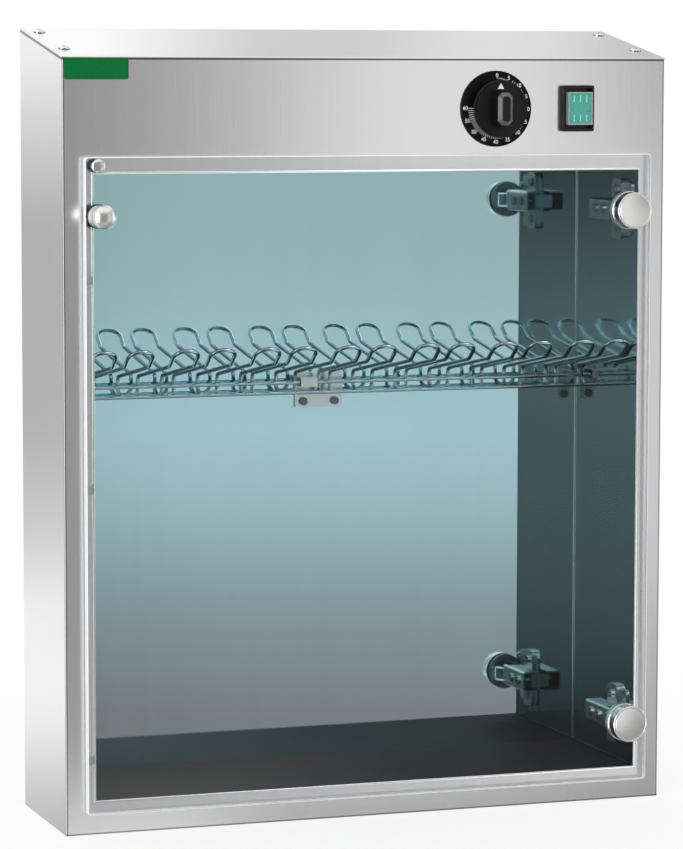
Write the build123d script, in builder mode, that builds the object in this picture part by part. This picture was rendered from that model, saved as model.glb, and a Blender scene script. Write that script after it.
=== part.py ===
from build123d import *

import math
import os

# Knife sterilizer cabinet: a wall-hung steel box with a sloped top, a clear
# door on concealed hinges, a wire rack for knives and a germicidal lamp above
# the chamber. X runs to the right, Y into the wall and Z up. The origin is
# the middle of the bottom face. All sizes are in millimetres.

os.makedirs("parts", exist_ok=True)

# Casing
WIDTH = 510.0
DEPTH = 132.0
FRONT_HEIGHT = 614.0
BACK_HEIGHT = 637.0
SHEET = 1.0
FRONT_BEND = 1.5
SIDE = WIDTH / 2
FRONT = -DEPTH / 2
REAR = DEPTH / 2
SLOPE = math.atan2(BACK_HEIGHT - FRONT_HEIGHT, DEPTH)
FLANGE = 12.0
TOP_FLANGE = 15.0

# Chamber and door opening
OPENING_HALF = 231.5
OPENING_FLOOR = 27.0
OPENING_TOP = 523.0
LINER = 0.8
HOOD_TOP = 574.0
HOOD_DEPTH = 54.0
MIRROR_DEPTH = DEPTH - SHEET - LINER

# Door
PANE_HALF = 239.5
PANE_BOTTOM = 17.0
PANE_TOP = 536.0
PANE_GAP = 2.0
PANE_THICK = 8.0
PANE_FACE = PANE_GAP + PANE_THICK
PANE_CORNER = 3.0

# Hinges: heights, cup centre, and the two pins of each link in plan
HINGE_HEIGHTS = {"lower": 66.0, "upper": 490.0}
CUP_X = 220.5
CUP_RADIUS = 13.0
CAP_RADIUS = 15.0
CAP_HEIGHT = 12.0
ARM_PIN = (211.2, 2.8)
CUP_PIN = (228.6, 7.2)
PIN_RADIUS = 1.2
RUNNING_GAP = 0.05
LINK_RADIUS = 2.0
EAR_RADIUS = 1.8
WALL_HOLE_DEPTH = 37.0
WALL_HOLE_SPACING = 32.0

# Handle, striker and safety switch
KNOB_X = -229.5
KNOB_Z = 490.0
STRIKER_X = -229.0
STRIKER_Z = 529.0

# Controls on the front band
TIMER_X = 106.2
TIMER_Z = 572.8
DIAL_RADIUS = 30.6
SKIRT_RADIUS = 23.2
SKIRT_FACE = 12.0
SWITCH_X = 176.4
SWITCH_Z = 573.0

# Rack
ROD_RADIUS = 1.6
ROD_DEPTH = 116.8
ROD_HEIGHTS = (336.4, 344.9)
WIRE_RADIUS = 1.6
HOOK_PAIRS = 7
HOOK_PITCH = 68.0
HOOK_SPACING = 30.5
LEG_HALF = 10.2
LEG_DEPTH = ROD_DEPTH + ROD_RADIUS + WIRE_RADIUS
CLAMP_X = 220.0
RACK_SCREW_HEIGHT = 328.0
RACK_SCREW_XS = (-CLAMP_X, -15.5, 12.0, CLAMP_X)
RACK_SCREW_RADIUS = 1.95

# Lamp
LAMP_Y = 28.0
LAMP_Z = 549.0
LAMP_LENGTH = 437.4
LAMP_RADIUS = 13.0


def behind(depth):
    """A sketch plane this far behind the front face, looking out of the front."""
    return Plane.XZ.offset(-(FRONT + depth))


def roof_height(y):
    """Height of the underside of the top cover at depth y."""
    return FRONT_HEIGHT + (y - FRONT) * math.tan(SLOPE) - SHEET / math.cos(SLOPE)


def block(x_limits, y_limits, z_limits, mode=Mode.ADD):
    """Add or cut a box between the given limits."""
    limits = (x_limits, y_limits, z_limits)
    centre = [(low + high) / 2 for low, high in limits]
    size = [high - low for low, high in limits]
    with Locations(tuple(centre)):
        Box(*size, mode=mode)


def bar(start, end, radius, mode=Mode.ADD):
    """Add or cut a round bar from start to end."""
    axis = Vector(*end) - Vector(*start)
    with BuildSketch(Plane(origin=start, z_dir=axis)) as section:
        Circle(radius)
    extrude(section.sketch, amount=axis.length, mode=mode)


def turned(outline, x, z, depth=0.0):
    """Revolve a closed outline of (radius, distance behind the depth) points."""
    points = [(radius, depth + offset) for radius, offset in outline]
    with BuildSketch(Plane(origin=(x, FRONT, z), x_dir=(1, 0, 0), z_dir=(0, 0, 1))) as profile:
        with BuildLine():
            Polyline(*points, close=True)
        make_face()
    axis = Axis((x, FRONT, z), (0, 1, 0))
    revolve(profile.sketch, axis=axis)


def front_y(depth):
    """Y of a point this far behind the front face."""
    return FRONT + depth


# Screw points of the top cover, and the mains gland in the right-hand side
COVER_SCREW_POINTS = [(x, depth) for x in (-244.0, 244.0) for depth in (35.0, 112.0)]
GLAND_CENTRE = (SIDE, 30.0, 592.0)


def cover_plane(x, depth):
    """A plane on the cover's upper face, square to the slope."""
    y = front_y(depth)
    z = roof_height(y) + SHEET / math.cos(SLOPE)
    normal = (0, -math.sin(SLOPE), math.cos(SLOPE))
    return Plane(origin=(x, y, z), x_dir=(1, 0, 0), z_dir=normal)


def cover_bar(x, depth, below, above, radius, mode=Mode.ADD):
    """A round bar square to the cover, from below its face to above it."""
    base = cover_plane(x, depth)
    start = tuple(base.offset(-below).origin)
    end = tuple(base.offset(above).origin)
    bar(start, end, radius, mode=mode)


def side_flanges(side):
    """Add the rear and top flanges that a side sheet turns inwards."""
    edge = side * (SIDE - SHEET)
    block(
        sorted((edge, edge - side * FLANGE)),
        (REAR - 2 * SHEET, REAR - SHEET),
        (0, roof_height(REAR - 2 * SHEET)),
    )
    with BuildSketch(Plane.YZ.offset(min(edge, edge - side * (TOP_FLANGE - SHEET)))) as top_flange:
        with BuildLine():
            Polyline(
                (FRONT + 2 * FRONT_BEND, roof_height(FRONT + 2 * FRONT_BEND)),
                (REAR - 2 * SHEET, roof_height(REAR - 2 * SHEET)),
                (REAR - 2 * SHEET, roof_height(REAR - 2 * SHEET) - SHEET),
                (FRONT + 2 * FRONT_BEND, roof_height(FRONT + 2 * FRONT_BEND) - SHEET),
                close=True,
            )
        make_face()
    extrude(top_flange.sketch, amount=TOP_FLANGE - SHEET)


# Body shell: front panel and left side folded from one sheet, with a rear and
# a top flange turned inwards. The right side is welded on behind the bend.
with BuildPart() as body_shell:
    with BuildSketch(Plane.YZ.offset(-SIDE)):
        with BuildLine():
            Polyline(
                (FRONT, 0),
                (REAR - SHEET, 0),
                (REAR - SHEET, roof_height(REAR - SHEET)),
                (FRONT, roof_height(FRONT)),
                close=True,
            )
        make_face()
    extrude(amount=WIDTH)
    fillet(body_shell.edges().filter_by(Axis.Z).group_by(Axis.Y)[0], radius=FRONT_BEND)
    block(
        (-SIDE + SHEET, SIDE - SHEET),
        (FRONT + SHEET, REAR),
        (-1, BACK_HEIGHT + 1),
        mode=Mode.SUBTRACT,
    )
    block(
        (SIDE - 2 * SHEET, SIDE + 1),
        (FRONT + FRONT_BEND, REAR),
        (-1, BACK_HEIGHT + 1),
        mode=Mode.SUBTRACT,
    )
    side_flanges(-1)
    with BuildSketch(behind(0)):
        with Locations((0, (OPENING_FLOOR + OPENING_TOP) / 2)):
            Rectangle(2 * OPENING_HALF, OPENING_TOP - OPENING_FLOOR)
        with Locations((TIMER_X, TIMER_Z)):
            Circle(6.0)
        with Locations((TIMER_X - 14, TIMER_Z), (TIMER_X + 14, TIMER_Z)):
            Circle(2.1)
        with Locations((SWITCH_X, SWITCH_Z)):
            Rectangle(22.2, 30.2)
        with Locations((STRIKER_X, STRIKER_Z)):
            Circle(2.6)
    extrude(amount=-SHEET, mode=Mode.SUBTRACT)
    for x, depth in COVER_SCREW_POINTS[:2]:
        cover_bar(x, depth, 6, 0, 1.95, mode=Mode.SUBTRACT)
body_shell.part.label = "body_shell"
export_step(body_shell.part, "parts/body_shell.step")

with BuildPart() as right_side:
    with BuildSketch(Plane.YZ.offset(SIDE - SHEET)):
        with BuildLine():
            Polyline(
                (FRONT + FRONT_BEND, 0),
                (REAR - SHEET, 0),
                (REAR - SHEET, roof_height(REAR - SHEET)),
                (FRONT + FRONT_BEND, roof_height(FRONT + FRONT_BEND)),
                close=True,
            )
        make_face()
    extrude(amount=SHEET)
    side_flanges(1)
    for x, depth in COVER_SCREW_POINTS[2:]:
        cover_bar(x, depth, 6, 0, 1.95, mode=Mode.SUBTRACT)
    gland_x, gland_y, gland_z = GLAND_CENTRE
    bar(
        (gland_x - 3, gland_y, gland_z),
        (gland_x + 3, gland_y, gland_z),
        8.05,
        mode=Mode.SUBTRACT,
    )
right_side.part.label = "right_side"
export_step(right_side.part, "parts/right_side.step")

# Bottom panel: a shallow tray welded between the sides.
BOTTOM_LIP = 12.0
with BuildPart() as bottom_panel:
    inner = SIDE - SHEET
    notch = inner - FLANGE
    block((-inner, inner), (FRONT + SHEET, REAR - 2 * SHEET), (0, BOTTOM_LIP))
    block((-notch, notch), (REAR - 3 * SHEET, REAR - SHEET), (0, BOTTOM_LIP))
    block(
        (-inner + SHEET, inner - SHEET),
        (FRONT + 2 * SHEET, REAR - 3 * SHEET),
        (SHEET, BOTTOM_LIP + 1),
        mode=Mode.SUBTRACT,
    )
    block(
        (-notch + SHEET, notch - SHEET),
        (REAR - 4 * SHEET, REAR - 2 * SHEET),
        (SHEET, BOTTOM_LIP + 1),
        mode=Mode.SUBTRACT,
    )
bottom_panel.part.label = "bottom_panel"
export_step(bottom_panel.part, "parts/bottom_panel.step")

# Back panel, with two holes for the wall screws above the chamber and small
# ones for the screws of the rack.
WALL_SCREW_X = 190.0
WALL_SCREW_Z = 600.0
WALL_SCREW_RADIUS = 3.25
with BuildPart() as back_panel:
    with BuildSketch(behind(DEPTH)):
        with BuildLine():
            top = roof_height(REAR - SHEET)
            Polyline((-SIDE, 0), (SIDE, 0), (SIDE, top), (-SIDE, top), close=True)
        make_face()
        with Locations((-WALL_SCREW_X, WALL_SCREW_Z), (WALL_SCREW_X, WALL_SCREW_Z)):
            Circle(WALL_SCREW_RADIUS, mode=Mode.SUBTRACT)
        with Locations([(x, RACK_SCREW_HEIGHT) for x in RACK_SCREW_XS]):
            Circle(RACK_SCREW_RADIUS + 0.05, mode=Mode.SUBTRACT)
    extrude(amount=SHEET)
back_panel.part.label = "back_panel"
export_step(back_panel.part, "parts/back_panel.step")

# Top cover: a flat sheet with lips turned down at front and back, held by
# four screws into the top flanges.
COVER_LIP = 10.0
with BuildPart() as top_cover:
    with BuildSketch(Plane.YZ.offset(-SIDE)):
        with BuildLine():
            Polyline(
                (FRONT, roof_height(FRONT)),
                (REAR, roof_height(REAR)),
                (REAR, BACK_HEIGHT),
                (FRONT, FRONT_HEIGHT),
                close=True,
            )
        make_face()
    extrude(amount=WIDTH)
    for y in (FRONT + SHEET + 0.3, REAR - 3 * SHEET - 0.3):
        block(
            (-SIDE + TOP_FLANGE + 2, SIDE - TOP_FLANGE - 2),
            (y, y + SHEET),
            (roof_height(y) - COVER_LIP, roof_height(y) + SHEET / 2),
        )
    for x, depth in COVER_SCREW_POINTS:
        cover_bar(x, depth, 3, 3, 2.1, mode=Mode.SUBTRACT)
top_cover.part.label = "top_cover"
export_step(top_cover.part, "parts/top_cover.step")

with BuildPart() as cover_screws:
    for x, depth in COVER_SCREW_POINTS:
        base = cover_plane(x, depth)
        cover_bar(x, depth, 7, 0, 1.9)
        with BuildSketch(base):
            Circle(4.0)
        extrude(amount=0.9)
        with BuildSketch(base.offset(0.9)):
            Circle(4.0)
        extrude(amount=0.9, taper=45)
    for x, depth in COVER_SCREW_POINTS:
        with BuildSketch(cover_plane(x, depth).offset(1.0)):
            Rectangle(3.6, 0.9)
            Rectangle(0.9, 3.6)
        extrude(amount=2, mode=Mode.SUBTRACT)
cover_screws.part.label = "cover_screws"
export_step(cover_screws.part, "parts/cover_screws.step")

# Chamber liner: polished side walls and floor folded from one sheet.
with BuildPart() as chamber_liner:
    outer = OPENING_HALF + LINER
    liner_front = FRONT + SHEET
    liner_rear = front_y(MIRROR_DEPTH)
    hood_front = FRONT + HOOD_DEPTH
    with BuildSketch(Plane.YZ.offset(-outer)):
        with BuildLine():
            Polyline(
                (liner_front, OPENING_FLOOR - LINER),
                (liner_rear, OPENING_FLOOR - LINER),
                (liner_rear, HOOD_TOP + LINER),
                (hood_front - LINER, HOOD_TOP + LINER),
                (hood_front - LINER, OPENING_TOP + LINER),
                (liner_front, OPENING_TOP + LINER),
                close=True,
            )
        make_face()
    extrude(amount=2 * outer)
    block(
        (-OPENING_HALF, OPENING_HALF),
        (FRONT, REAR),
        (OPENING_FLOOR, BACK_HEIGHT),
        mode=Mode.SUBTRACT,
    )
    for z in HINGE_HEIGHTS.values():
        for dz in (-WALL_HOLE_SPACING / 2, WALL_HOLE_SPACING / 2):
            hole_y = front_y(WALL_HOLE_DEPTH)
            bar((OPENING_HALF - 1, hole_y, z + dz), (outer + 1, hole_y, z + dz), 2.1, mode=Mode.SUBTRACT)
chamber_liner.part.label = "chamber_liner"
export_step(chamber_liner.part, "parts/chamber_liner.step")

with BuildPart() as mirror_back:
    block(
        (-outer - 1.5, outer + 1.5),
        (liner_rear, REAR - SHEET),
        (OPENING_FLOOR - 3, HOOD_TOP + 3),
    )
    for x in RACK_SCREW_XS:
        bar(
            (x, liner_rear - 1, RACK_SCREW_HEIGHT),
            (x, REAR, RACK_SCREW_HEIGHT),
            RACK_SCREW_RADIUS + 0.05,
            mode=Mode.SUBTRACT,
        )
mirror_back.part.label = "mirror_back"
export_step(mirror_back.part, "parts/mirror_back.step")

# Lamp hood: the stepped, polished ceiling that carries the lamp out of sight.
with BuildPart() as lamp_hood:
    with BuildSketch(Plane.YZ.offset(-OPENING_HALF)):
        with BuildLine():
            Polyline(
                (liner_front, OPENING_TOP),
                (hood_front, OPENING_TOP),
                (hood_front, HOOD_TOP),
                (liner_rear, HOOD_TOP),
                (liner_rear, HOOD_TOP + LINER),
                (hood_front - LINER, HOOD_TOP + LINER),
                (hood_front - LINER, OPENING_TOP + LINER),
                (liner_front, OPENING_TOP + LINER),
                close=True,
            )
        make_face()
    extrude(amount=2 * OPENING_HALF)
lamp_hood.part.label = "lamp_hood"
export_step(lamp_hood.part, "parts/lamp_hood.step")

# Germicidal lamp: glass tube, metal end caps with their pins, and holders.
CAP_LENGTH = 20.0
LAMP_END = LAMP_LENGTH / 2
with BuildPart() as lamp_tube:
    glass_end = LAMP_END - 2.0
    bar((-glass_end, LAMP_Y, LAMP_Z), (glass_end, LAMP_Y, LAMP_Z), LAMP_RADIUS - 0.6)
    bar(
        (-glass_end, LAMP_Y, LAMP_Z),
        (glass_end, LAMP_Y, LAMP_Z),
        LAMP_RADIUS - 1.5,
        mode=Mode.SUBTRACT,
    )
lamp_tube.part.label = "lamp_tube"
export_step(lamp_tube.part, "parts/lamp_tube.step")

PIN_SPREAD = 6.35
with BuildPart() as lamp_end_caps:
    for side in (-1, 1):
        bar(
            (side * (LAMP_END - CAP_LENGTH), LAMP_Y, LAMP_Z),
            (side * LAMP_END, LAMP_Y, LAMP_Z),
            LAMP_RADIUS,
        )
        bar(
            (side * (LAMP_END - CAP_LENGTH), LAMP_Y, LAMP_Z),
            (side * (LAMP_END - 2), LAMP_Y, LAMP_Z),
            LAMP_RADIUS - 0.6,
            mode=Mode.SUBTRACT,
        )
        for y in (LAMP_Y - PIN_SPREAD, LAMP_Y + PIN_SPREAD):
            bar((side * LAMP_END, y, LAMP_Z), (side * (LAMP_END + 7), y, LAMP_Z), 1.2)
lamp_end_caps.part.label = "lamp_end_caps"
export_step(lamp_end_caps.part, "parts/lamp_end_caps.step")

with BuildPart() as lamp_holders:
    for side in (-1, 1):
        holder = sorted((side * (LAMP_END + 0.5), side * OPENING_HALF))
        block(holder, (LAMP_Y - 13, LAMP_Y + 13), (LAMP_Z - 15, LAMP_Z + 20))
    fillet(lamp_holders.edges().filter_by(Axis.X), radius=5)
    for side in (-1, 1):
        for y in (LAMP_Y - PIN_SPREAD, LAMP_Y + PIN_SPREAD):
            bar(
                (side * LAMP_END, y, LAMP_Z),
                (side * (LAMP_END + 9), y, LAMP_Z),
                1.3,
                mode=Mode.SUBTRACT,
            )
lamp_holders.part.label = "lamp_holders"
export_step(lamp_holders.part, "parts/lamp_holders.step")

# Control gear on the roof of the hood.
SHELF = HOOD_TOP + LINER
with BuildPart() as ballast:
    block((-190, -40), (8, 49), (SHELF + 1.2, SHELF + 28))
    fillet(ballast.edges().filter_by(Axis.X), radius=2)
    block((-200, -30), (16, 41), (SHELF, SHELF + 1.2))
    for x in (-195, -35):
        bar((x, 28.5, SHELF - 1), (x, 28.5, SHELF + 2), 2.2, mode=Mode.SUBTRACT)
ballast.part.label = "ballast"
export_step(ballast.part, "parts/ballast.step")

with BuildPart() as starter:
    block((-18, -8), (14, 42), (SHELF, SHELF + 26))
    fillet(starter.edges().filter_by(Axis.X), radius=3)
    bar((-8, 28, SHELF + 14), (27, 28, SHELF + 14), 10.7)
    fillet(starter.edges().group_by(Axis.X)[-1], radius=2)
starter.part.label = "starter"
export_step(starter.part, "parts/starter.step")

with BuildPart() as terminal_block:
    block((178, 214), (20, 40), (SHELF, SHELF + 15))
    for x in (184, 196, 208):
        bar((x, 30, SHELF + 9), (x, 30, SHELF + 16), 2.6, mode=Mode.SUBTRACT)
terminal_block.part.label = "terminal_block"
export_step(terminal_block.part, "parts/terminal_block.step")

# Mains inlet gland on the right-hand side. No lead is modelled.
with BuildPart() as cable_gland:
    x, y, z = GLAND_CENTRE
    bar((x - 12, y, z), (x, y, z), 8.0)
    with BuildSketch(Plane(origin=(x, y, z), z_dir=(1, 0, 0))):
        RegularPolygon(11.0, 6)
    extrude(amount=5)
    with BuildSketch(Plane(origin=(x - 6, y, z), z_dir=(1, 0, 0))):
        RegularPolygon(11.0, 6)
    extrude(amount=5)
    with BuildSketch(Plane(origin=(x + 5, y, z), z_dir=(1, 0, 0))):
        Circle(9.0)
    extrude(amount=9, taper=12)
    bar((x - 14, y, z), (x + 16, y, z), 3.6, mode=Mode.SUBTRACT)
cable_gland.part.label = "cable_gland"
export_step(cable_gland.part, "parts/cable_gland.step")

# Timer: clockwork body behind the panel, printed dial and knob in front.
with BuildPart() as timer_body:
    with BuildSketch(behind(SHEET)):
        with Locations((TIMER_X, TIMER_Z)):
            RectangleRounded(46, 46, 3)
    extrude(amount=-32)
    turned([(3.05, 0), (5.9, 0), (5.9, SHEET + 1), (3.05, SHEET + 1)], TIMER_X, TIMER_Z)
    bar(
        (TIMER_X, front_y(-1), TIMER_Z),
        (TIMER_X, front_y(13), TIMER_Z),
        3.05,
        mode=Mode.SUBTRACT,
    )
    for dx in (-14, 14):
        bar(
            (TIMER_X + dx, front_y(0), TIMER_Z),
            (TIMER_X + dx, front_y(8), TIMER_Z),
            1.9,
            mode=Mode.SUBTRACT,
        )
    for dx in (-15, -5, 5, 15):
        x = TIMER_X + dx
        block((x - 3, x + 3), (front_y(33), front_y(40)), (TIMER_Z - 18.4, TIMER_Z - 17.6))
timer_body.part.label = "timer_body"
export_step(timer_body.part, "parts/timer_body.step")

with BuildPart() as timer_screws:
    for dx in (-14, 14):
        x = TIMER_X + dx
        bar((x, front_y(-0.8), TIMER_Z), (x, front_y(7), TIMER_Z), 1.85)
        bar((x, front_y(-0.8), TIMER_Z), (x, front_y(0), TIMER_Z), 3.0)
timer_screws.part.label = "timer_screws"
export_step(timer_screws.part, "parts/timer_screws.step")

DIAL_THICK = 1.6
with BuildPart() as timer_dial:
    with BuildSketch(behind(0)):
        with Locations((TIMER_X, TIMER_Z)):
            Circle(DIAL_RADIUS)
            Circle(4.0, mode=Mode.SUBTRACT)
    extrude(amount=DIAL_THICK)
    chamfer(timer_dial.edges().group_by(Axis.Y)[0].sort_by(SortBy.RADIUS)[-1], length=0.6)
    for dx in (-14, 14):
        x = TIMER_X + dx
        bar((x, front_y(-0.9), TIMER_Z), (x, front_y(1), TIMER_Z), 3.1, mode=Mode.SUBTRACT)
timer_dial.part.label = "timer_dial"
export_step(timer_dial.part, "parts/timer_dial.step")

SHAFT_RADIUS = 3.0
with BuildPart() as timer_shaft:
    bar((TIMER_X, front_y(12), TIMER_Z), (TIMER_X, front_y(-14), TIMER_Z), SHAFT_RADIUS)
timer_shaft.part.label = "timer_shaft"
export_step(timer_shaft.part, "parts/timer_shaft.step")

GRIP_HEIGHT = 13.0
GRIP_WIDTH = 12.8
GRIP_LENGTH = 26.2
GRIP_BEVEL = 3.0
with BuildPart() as timer_knob:
    skirt = [
        (SHAFT_RADIUS, 0),
        (SKIRT_RADIUS, 0),
        (SKIRT_RADIUS, -SKIRT_FACE + DIAL_THICK + 1.4),
        (SKIRT_RADIUS - 0.8, -SKIRT_FACE + DIAL_THICK + 0.6),
        (SKIRT_RADIUS - 1.6, -SKIRT_FACE + DIAL_THICK + 1.2),
        (SHAFT_RADIUS, -SKIRT_FACE + DIAL_THICK + 1.2),
    ]
    turned(skirt, TIMER_X, TIMER_Z, depth=-DIAL_THICK - 0.6)
    with BuildSketch(behind(-SKIRT_FACE + 0.6)):
        with Locations((TIMER_X, TIMER_Z)):
            RectangleRounded(GRIP_WIDTH, GRIP_LENGTH, 2.5)
    extrude(amount=GRIP_HEIGHT - GRIP_BEVEL)
    with BuildSketch(behind(-SKIRT_FACE + 0.6 - GRIP_HEIGHT + GRIP_BEVEL)):
        with Locations((TIMER_X, TIMER_Z)):
            RectangleRounded(GRIP_WIDTH, GRIP_LENGTH, 2.5)
    extrude(amount=GRIP_BEVEL, taper=38)
    bar(
        (TIMER_X, front_y(0), TIMER_Z),
        (TIMER_X, front_y(-14), TIMER_Z),
        SHAFT_RADIUS,
        mode=Mode.SUBTRACT,
    )
timer_knob.part.label = "timer_knob"
export_step(timer_knob.part, "parts/timer_knob.step")

# Rocker switch: snap-in body, bezel, and a lit rocker that tilts in it.
BEZEL_DEPTH = 6.0
ROCKER_WIDTH = 21.4
ROCKER_LENGTH = 26.6
ROCKER_FACE = 10.0
ROCKER_PIVOT = 3.2
PIVOT_RADIUS = 0.9
PIVOT_HALF = 12.4
with BuildPart() as switch_body:
    with BuildSketch(behind(0)):
        with Locations((SWITCH_X, SWITCH_Z)):
            Rectangle(22, 30)
    extrude(amount=-24)
    for dz in (-8, 0, 8):
        z = SWITCH_Z + dz
        block((SWITCH_X - 3, SWITCH_X + 3), (front_y(24), front_y(32)), (z - 0.4, z + 0.4))
switch_body.part.label = "switch_body"
export_step(switch_body.part, "parts/switch_body.step")

with BuildPart() as switch_bezel:
    with BuildSketch(behind(0)):
        with Locations((SWITCH_X, SWITCH_Z)):
            RectangleRounded(28, 37.4, 1.6)
    extrude(amount=BEZEL_DEPTH)
    chamfer(switch_bezel.faces().sort_by(Axis.Y)[0].edges(), length=0.8)
    with BuildSketch(behind(0)):
        with Locations((SWITCH_X, SWITCH_Z)):
            Rectangle(22.4, 29)
    extrude(amount=BEZEL_DEPTH, mode=Mode.SUBTRACT)
    bar(
        (SWITCH_X - PIVOT_HALF, front_y(-ROCKER_PIVOT), SWITCH_Z),
        (SWITCH_X + PIVOT_HALF, front_y(-ROCKER_PIVOT), SWITCH_Z),
        PIVOT_RADIUS + RUNNING_GAP,
        mode=Mode.SUBTRACT,
    )
switch_bezel.part.label = "switch_bezel"
export_step(switch_bezel.part, "parts/switch_bezel.step")

with BuildPart() as rocker_frame:
    with BuildSketch(behind(-ROCKER_FACE)):
        with Locations((SWITCH_X, SWITCH_Z)):
            RectangleRounded(ROCKER_WIDTH, ROCKER_LENGTH, 0.8)
            Rectangle(ROCKER_WIDTH - 2.4, ROCKER_LENGTH - 2.4, mode=Mode.SUBTRACT)
    extrude(amount=-8)
    for side in (-1, 1):
        bar(
            (SWITCH_X + side * (ROCKER_WIDTH / 2 - 0.6), front_y(-ROCKER_PIVOT), SWITCH_Z),
            (SWITCH_X + side * (PIVOT_HALF - 0.1), front_y(-ROCKER_PIVOT), SWITCH_Z),
            PIVOT_RADIUS,
        )
rocker_frame.part.label = "rocker_frame"
export_step(rocker_frame.part, "parts/rocker_frame.step")

with BuildPart() as rocker_lens:
    with BuildSketch(behind(-ROCKER_FACE + 0.6)):
        with Locations((SWITCH_X, SWITCH_Z)):
            Rectangle(ROCKER_WIDTH - 2.4, ROCKER_LENGTH - 2.4)
    extrude(amount=-7.4)
rocker_lens.part.label = "rocker_lens"
export_step(rocker_lens.part, "parts/rocker_lens.step")

# Safety switch: the striker on the door holds its plunger in while shut.
PLUNGER_TIP = -0.9
SWITCH_BASE = 6.0
with BuildPart() as microswitch_body:
    block(
        (STRIKER_X - 12, STRIKER_X + 16),
        (front_y(SWITCH_BASE), front_y(SWITCH_BASE + 16)),
        (STRIKER_Z - 4.6, STRIKER_Z + 5.4),
    )
    fillet(microswitch_body.edges().filter_by(Axis.Z), radius=1)
    bar(
        (STRIKER_X, front_y(SWITCH_BASE - 1), STRIKER_Z),
        (STRIKER_X, front_y(SWITCH_BASE + 6), STRIKER_Z),
        1.5 + RUNNING_GAP,
        mode=Mode.SUBTRACT,
    )
    for x in (STRIKER_X - 8, STRIKER_X + 12):
        bar(
            (x, front_y(SWITCH_BASE + 11), STRIKER_Z - 5),
            (x, front_y(SWITCH_BASE + 11), STRIKER_Z + 6),
            1.5,
            mode=Mode.SUBTRACT,
        )
microswitch_body.part.label = "microswitch_body"
export_step(microswitch_body.part, "parts/microswitch_body.step")

with BuildPart() as microswitch_bracket:
    low = STRIKER_Z + 5.4
    block(
        (STRIKER_X - 12, STRIKER_X + 16),
        (front_y(SHEET), front_y(SWITCH_BASE + 16)),
        (low, low + 1),
    )
    block(
        (STRIKER_X - 12, STRIKER_X + 16),
        (front_y(SHEET), front_y(2 * SHEET)),
        (low, low + 10),
    )
microswitch_bracket.part.label = "microswitch_bracket"
export_step(microswitch_bracket.part, "parts/microswitch_bracket.step")

with BuildPart() as microswitch_plunger:
    bar(
        (STRIKER_X, front_y(PLUNGER_TIP), STRIKER_Z),
        (STRIKER_X, front_y(SWITCH_BASE + 5), STRIKER_Z),
        1.5,
    )
    fillet(microswitch_plunger.edges().group_by(Axis.Y)[0], radius=0.5)
microswitch_plunger.part.label = "microswitch_plunger"
export_step(microswitch_plunger.part, "parts/microswitch_plunger.step")

# Door pane: clear sheet, drilled for the hinge cups, knob and striker.
with BuildPart() as door_pane:
    with BuildSketch(behind(-PANE_GAP)):
        with Locations((0, (PANE_BOTTOM + PANE_TOP) / 2)):
            RectangleRounded(2 * PANE_HALF, PANE_TOP - PANE_BOTTOM, PANE_CORNER)
        with Locations([(CUP_X, z) for z in HINGE_HEIGHTS.values()]):
            Circle(CUP_RADIUS, mode=Mode.SUBTRACT)
        with Locations((KNOB_X, KNOB_Z), (STRIKER_X, STRIKER_Z)):
            Circle(2.2, mode=Mode.SUBTRACT)
    extrude(amount=PANE_THICK)
    chamfer(door_pane.faces().sort_by(Axis.Y)[0].outer_wire().edges(), length=0.6)
door_pane.part.label = "door_pane"
export_step(door_pane.part, "parts/door_pane.step")

# Concealed hinges: plate and arm on the chamber wall, a link that swings out,
# and a cup in the door under a round cover. The arm is a channel whose two
# cheeks hold the link's rear pin, and the cup's two ears hold its front pin.
PLATE_THICK = 3.9
ARM_FACE_X = 213.5
ARM_HALF = 8.9
CUP_BOWL = 9.0
CHEEK_INNER = 4.7
CHEEK_OUTER = 6.2
EAR_INNER = 6.7
EAR_OUTER = 8.3
BOSS_X = OPENING_HALF - PLATE_THICK - 4
ARM_SCREW_DEPTHS = (32.0, 47.5)


def plan(point):
    """A hinge point given as (x, distance behind the front) in plan."""
    x, depth = point
    return (x, front_y(depth))


def upright(point, low, high, radius, mode=Mode.ADD):
    """Add or cut a vertical round bar through a plan point."""
    x, y = plan(point)
    bar((x, y, low), (x, y, high), radius, mode=mode)


def slab_between(first, second, radius, low, high):
    """Add a round-ended strap between two plan points."""
    start, end = Vector(*plan(first)), Vector(*plan(second))
    middle = (start + end) / 2
    angle = math.degrees(math.atan2(end.Y - start.Y, end.X - start.X))
    with BuildSketch(Plane.XY.offset(low)) as strap:
        with Locations((middle.X, middle.Y)):
            SlotCenterToCenter((end - start).length, 2 * radius, rotation=angle)
    extrude(strap.sketch, amount=high - low)


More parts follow.
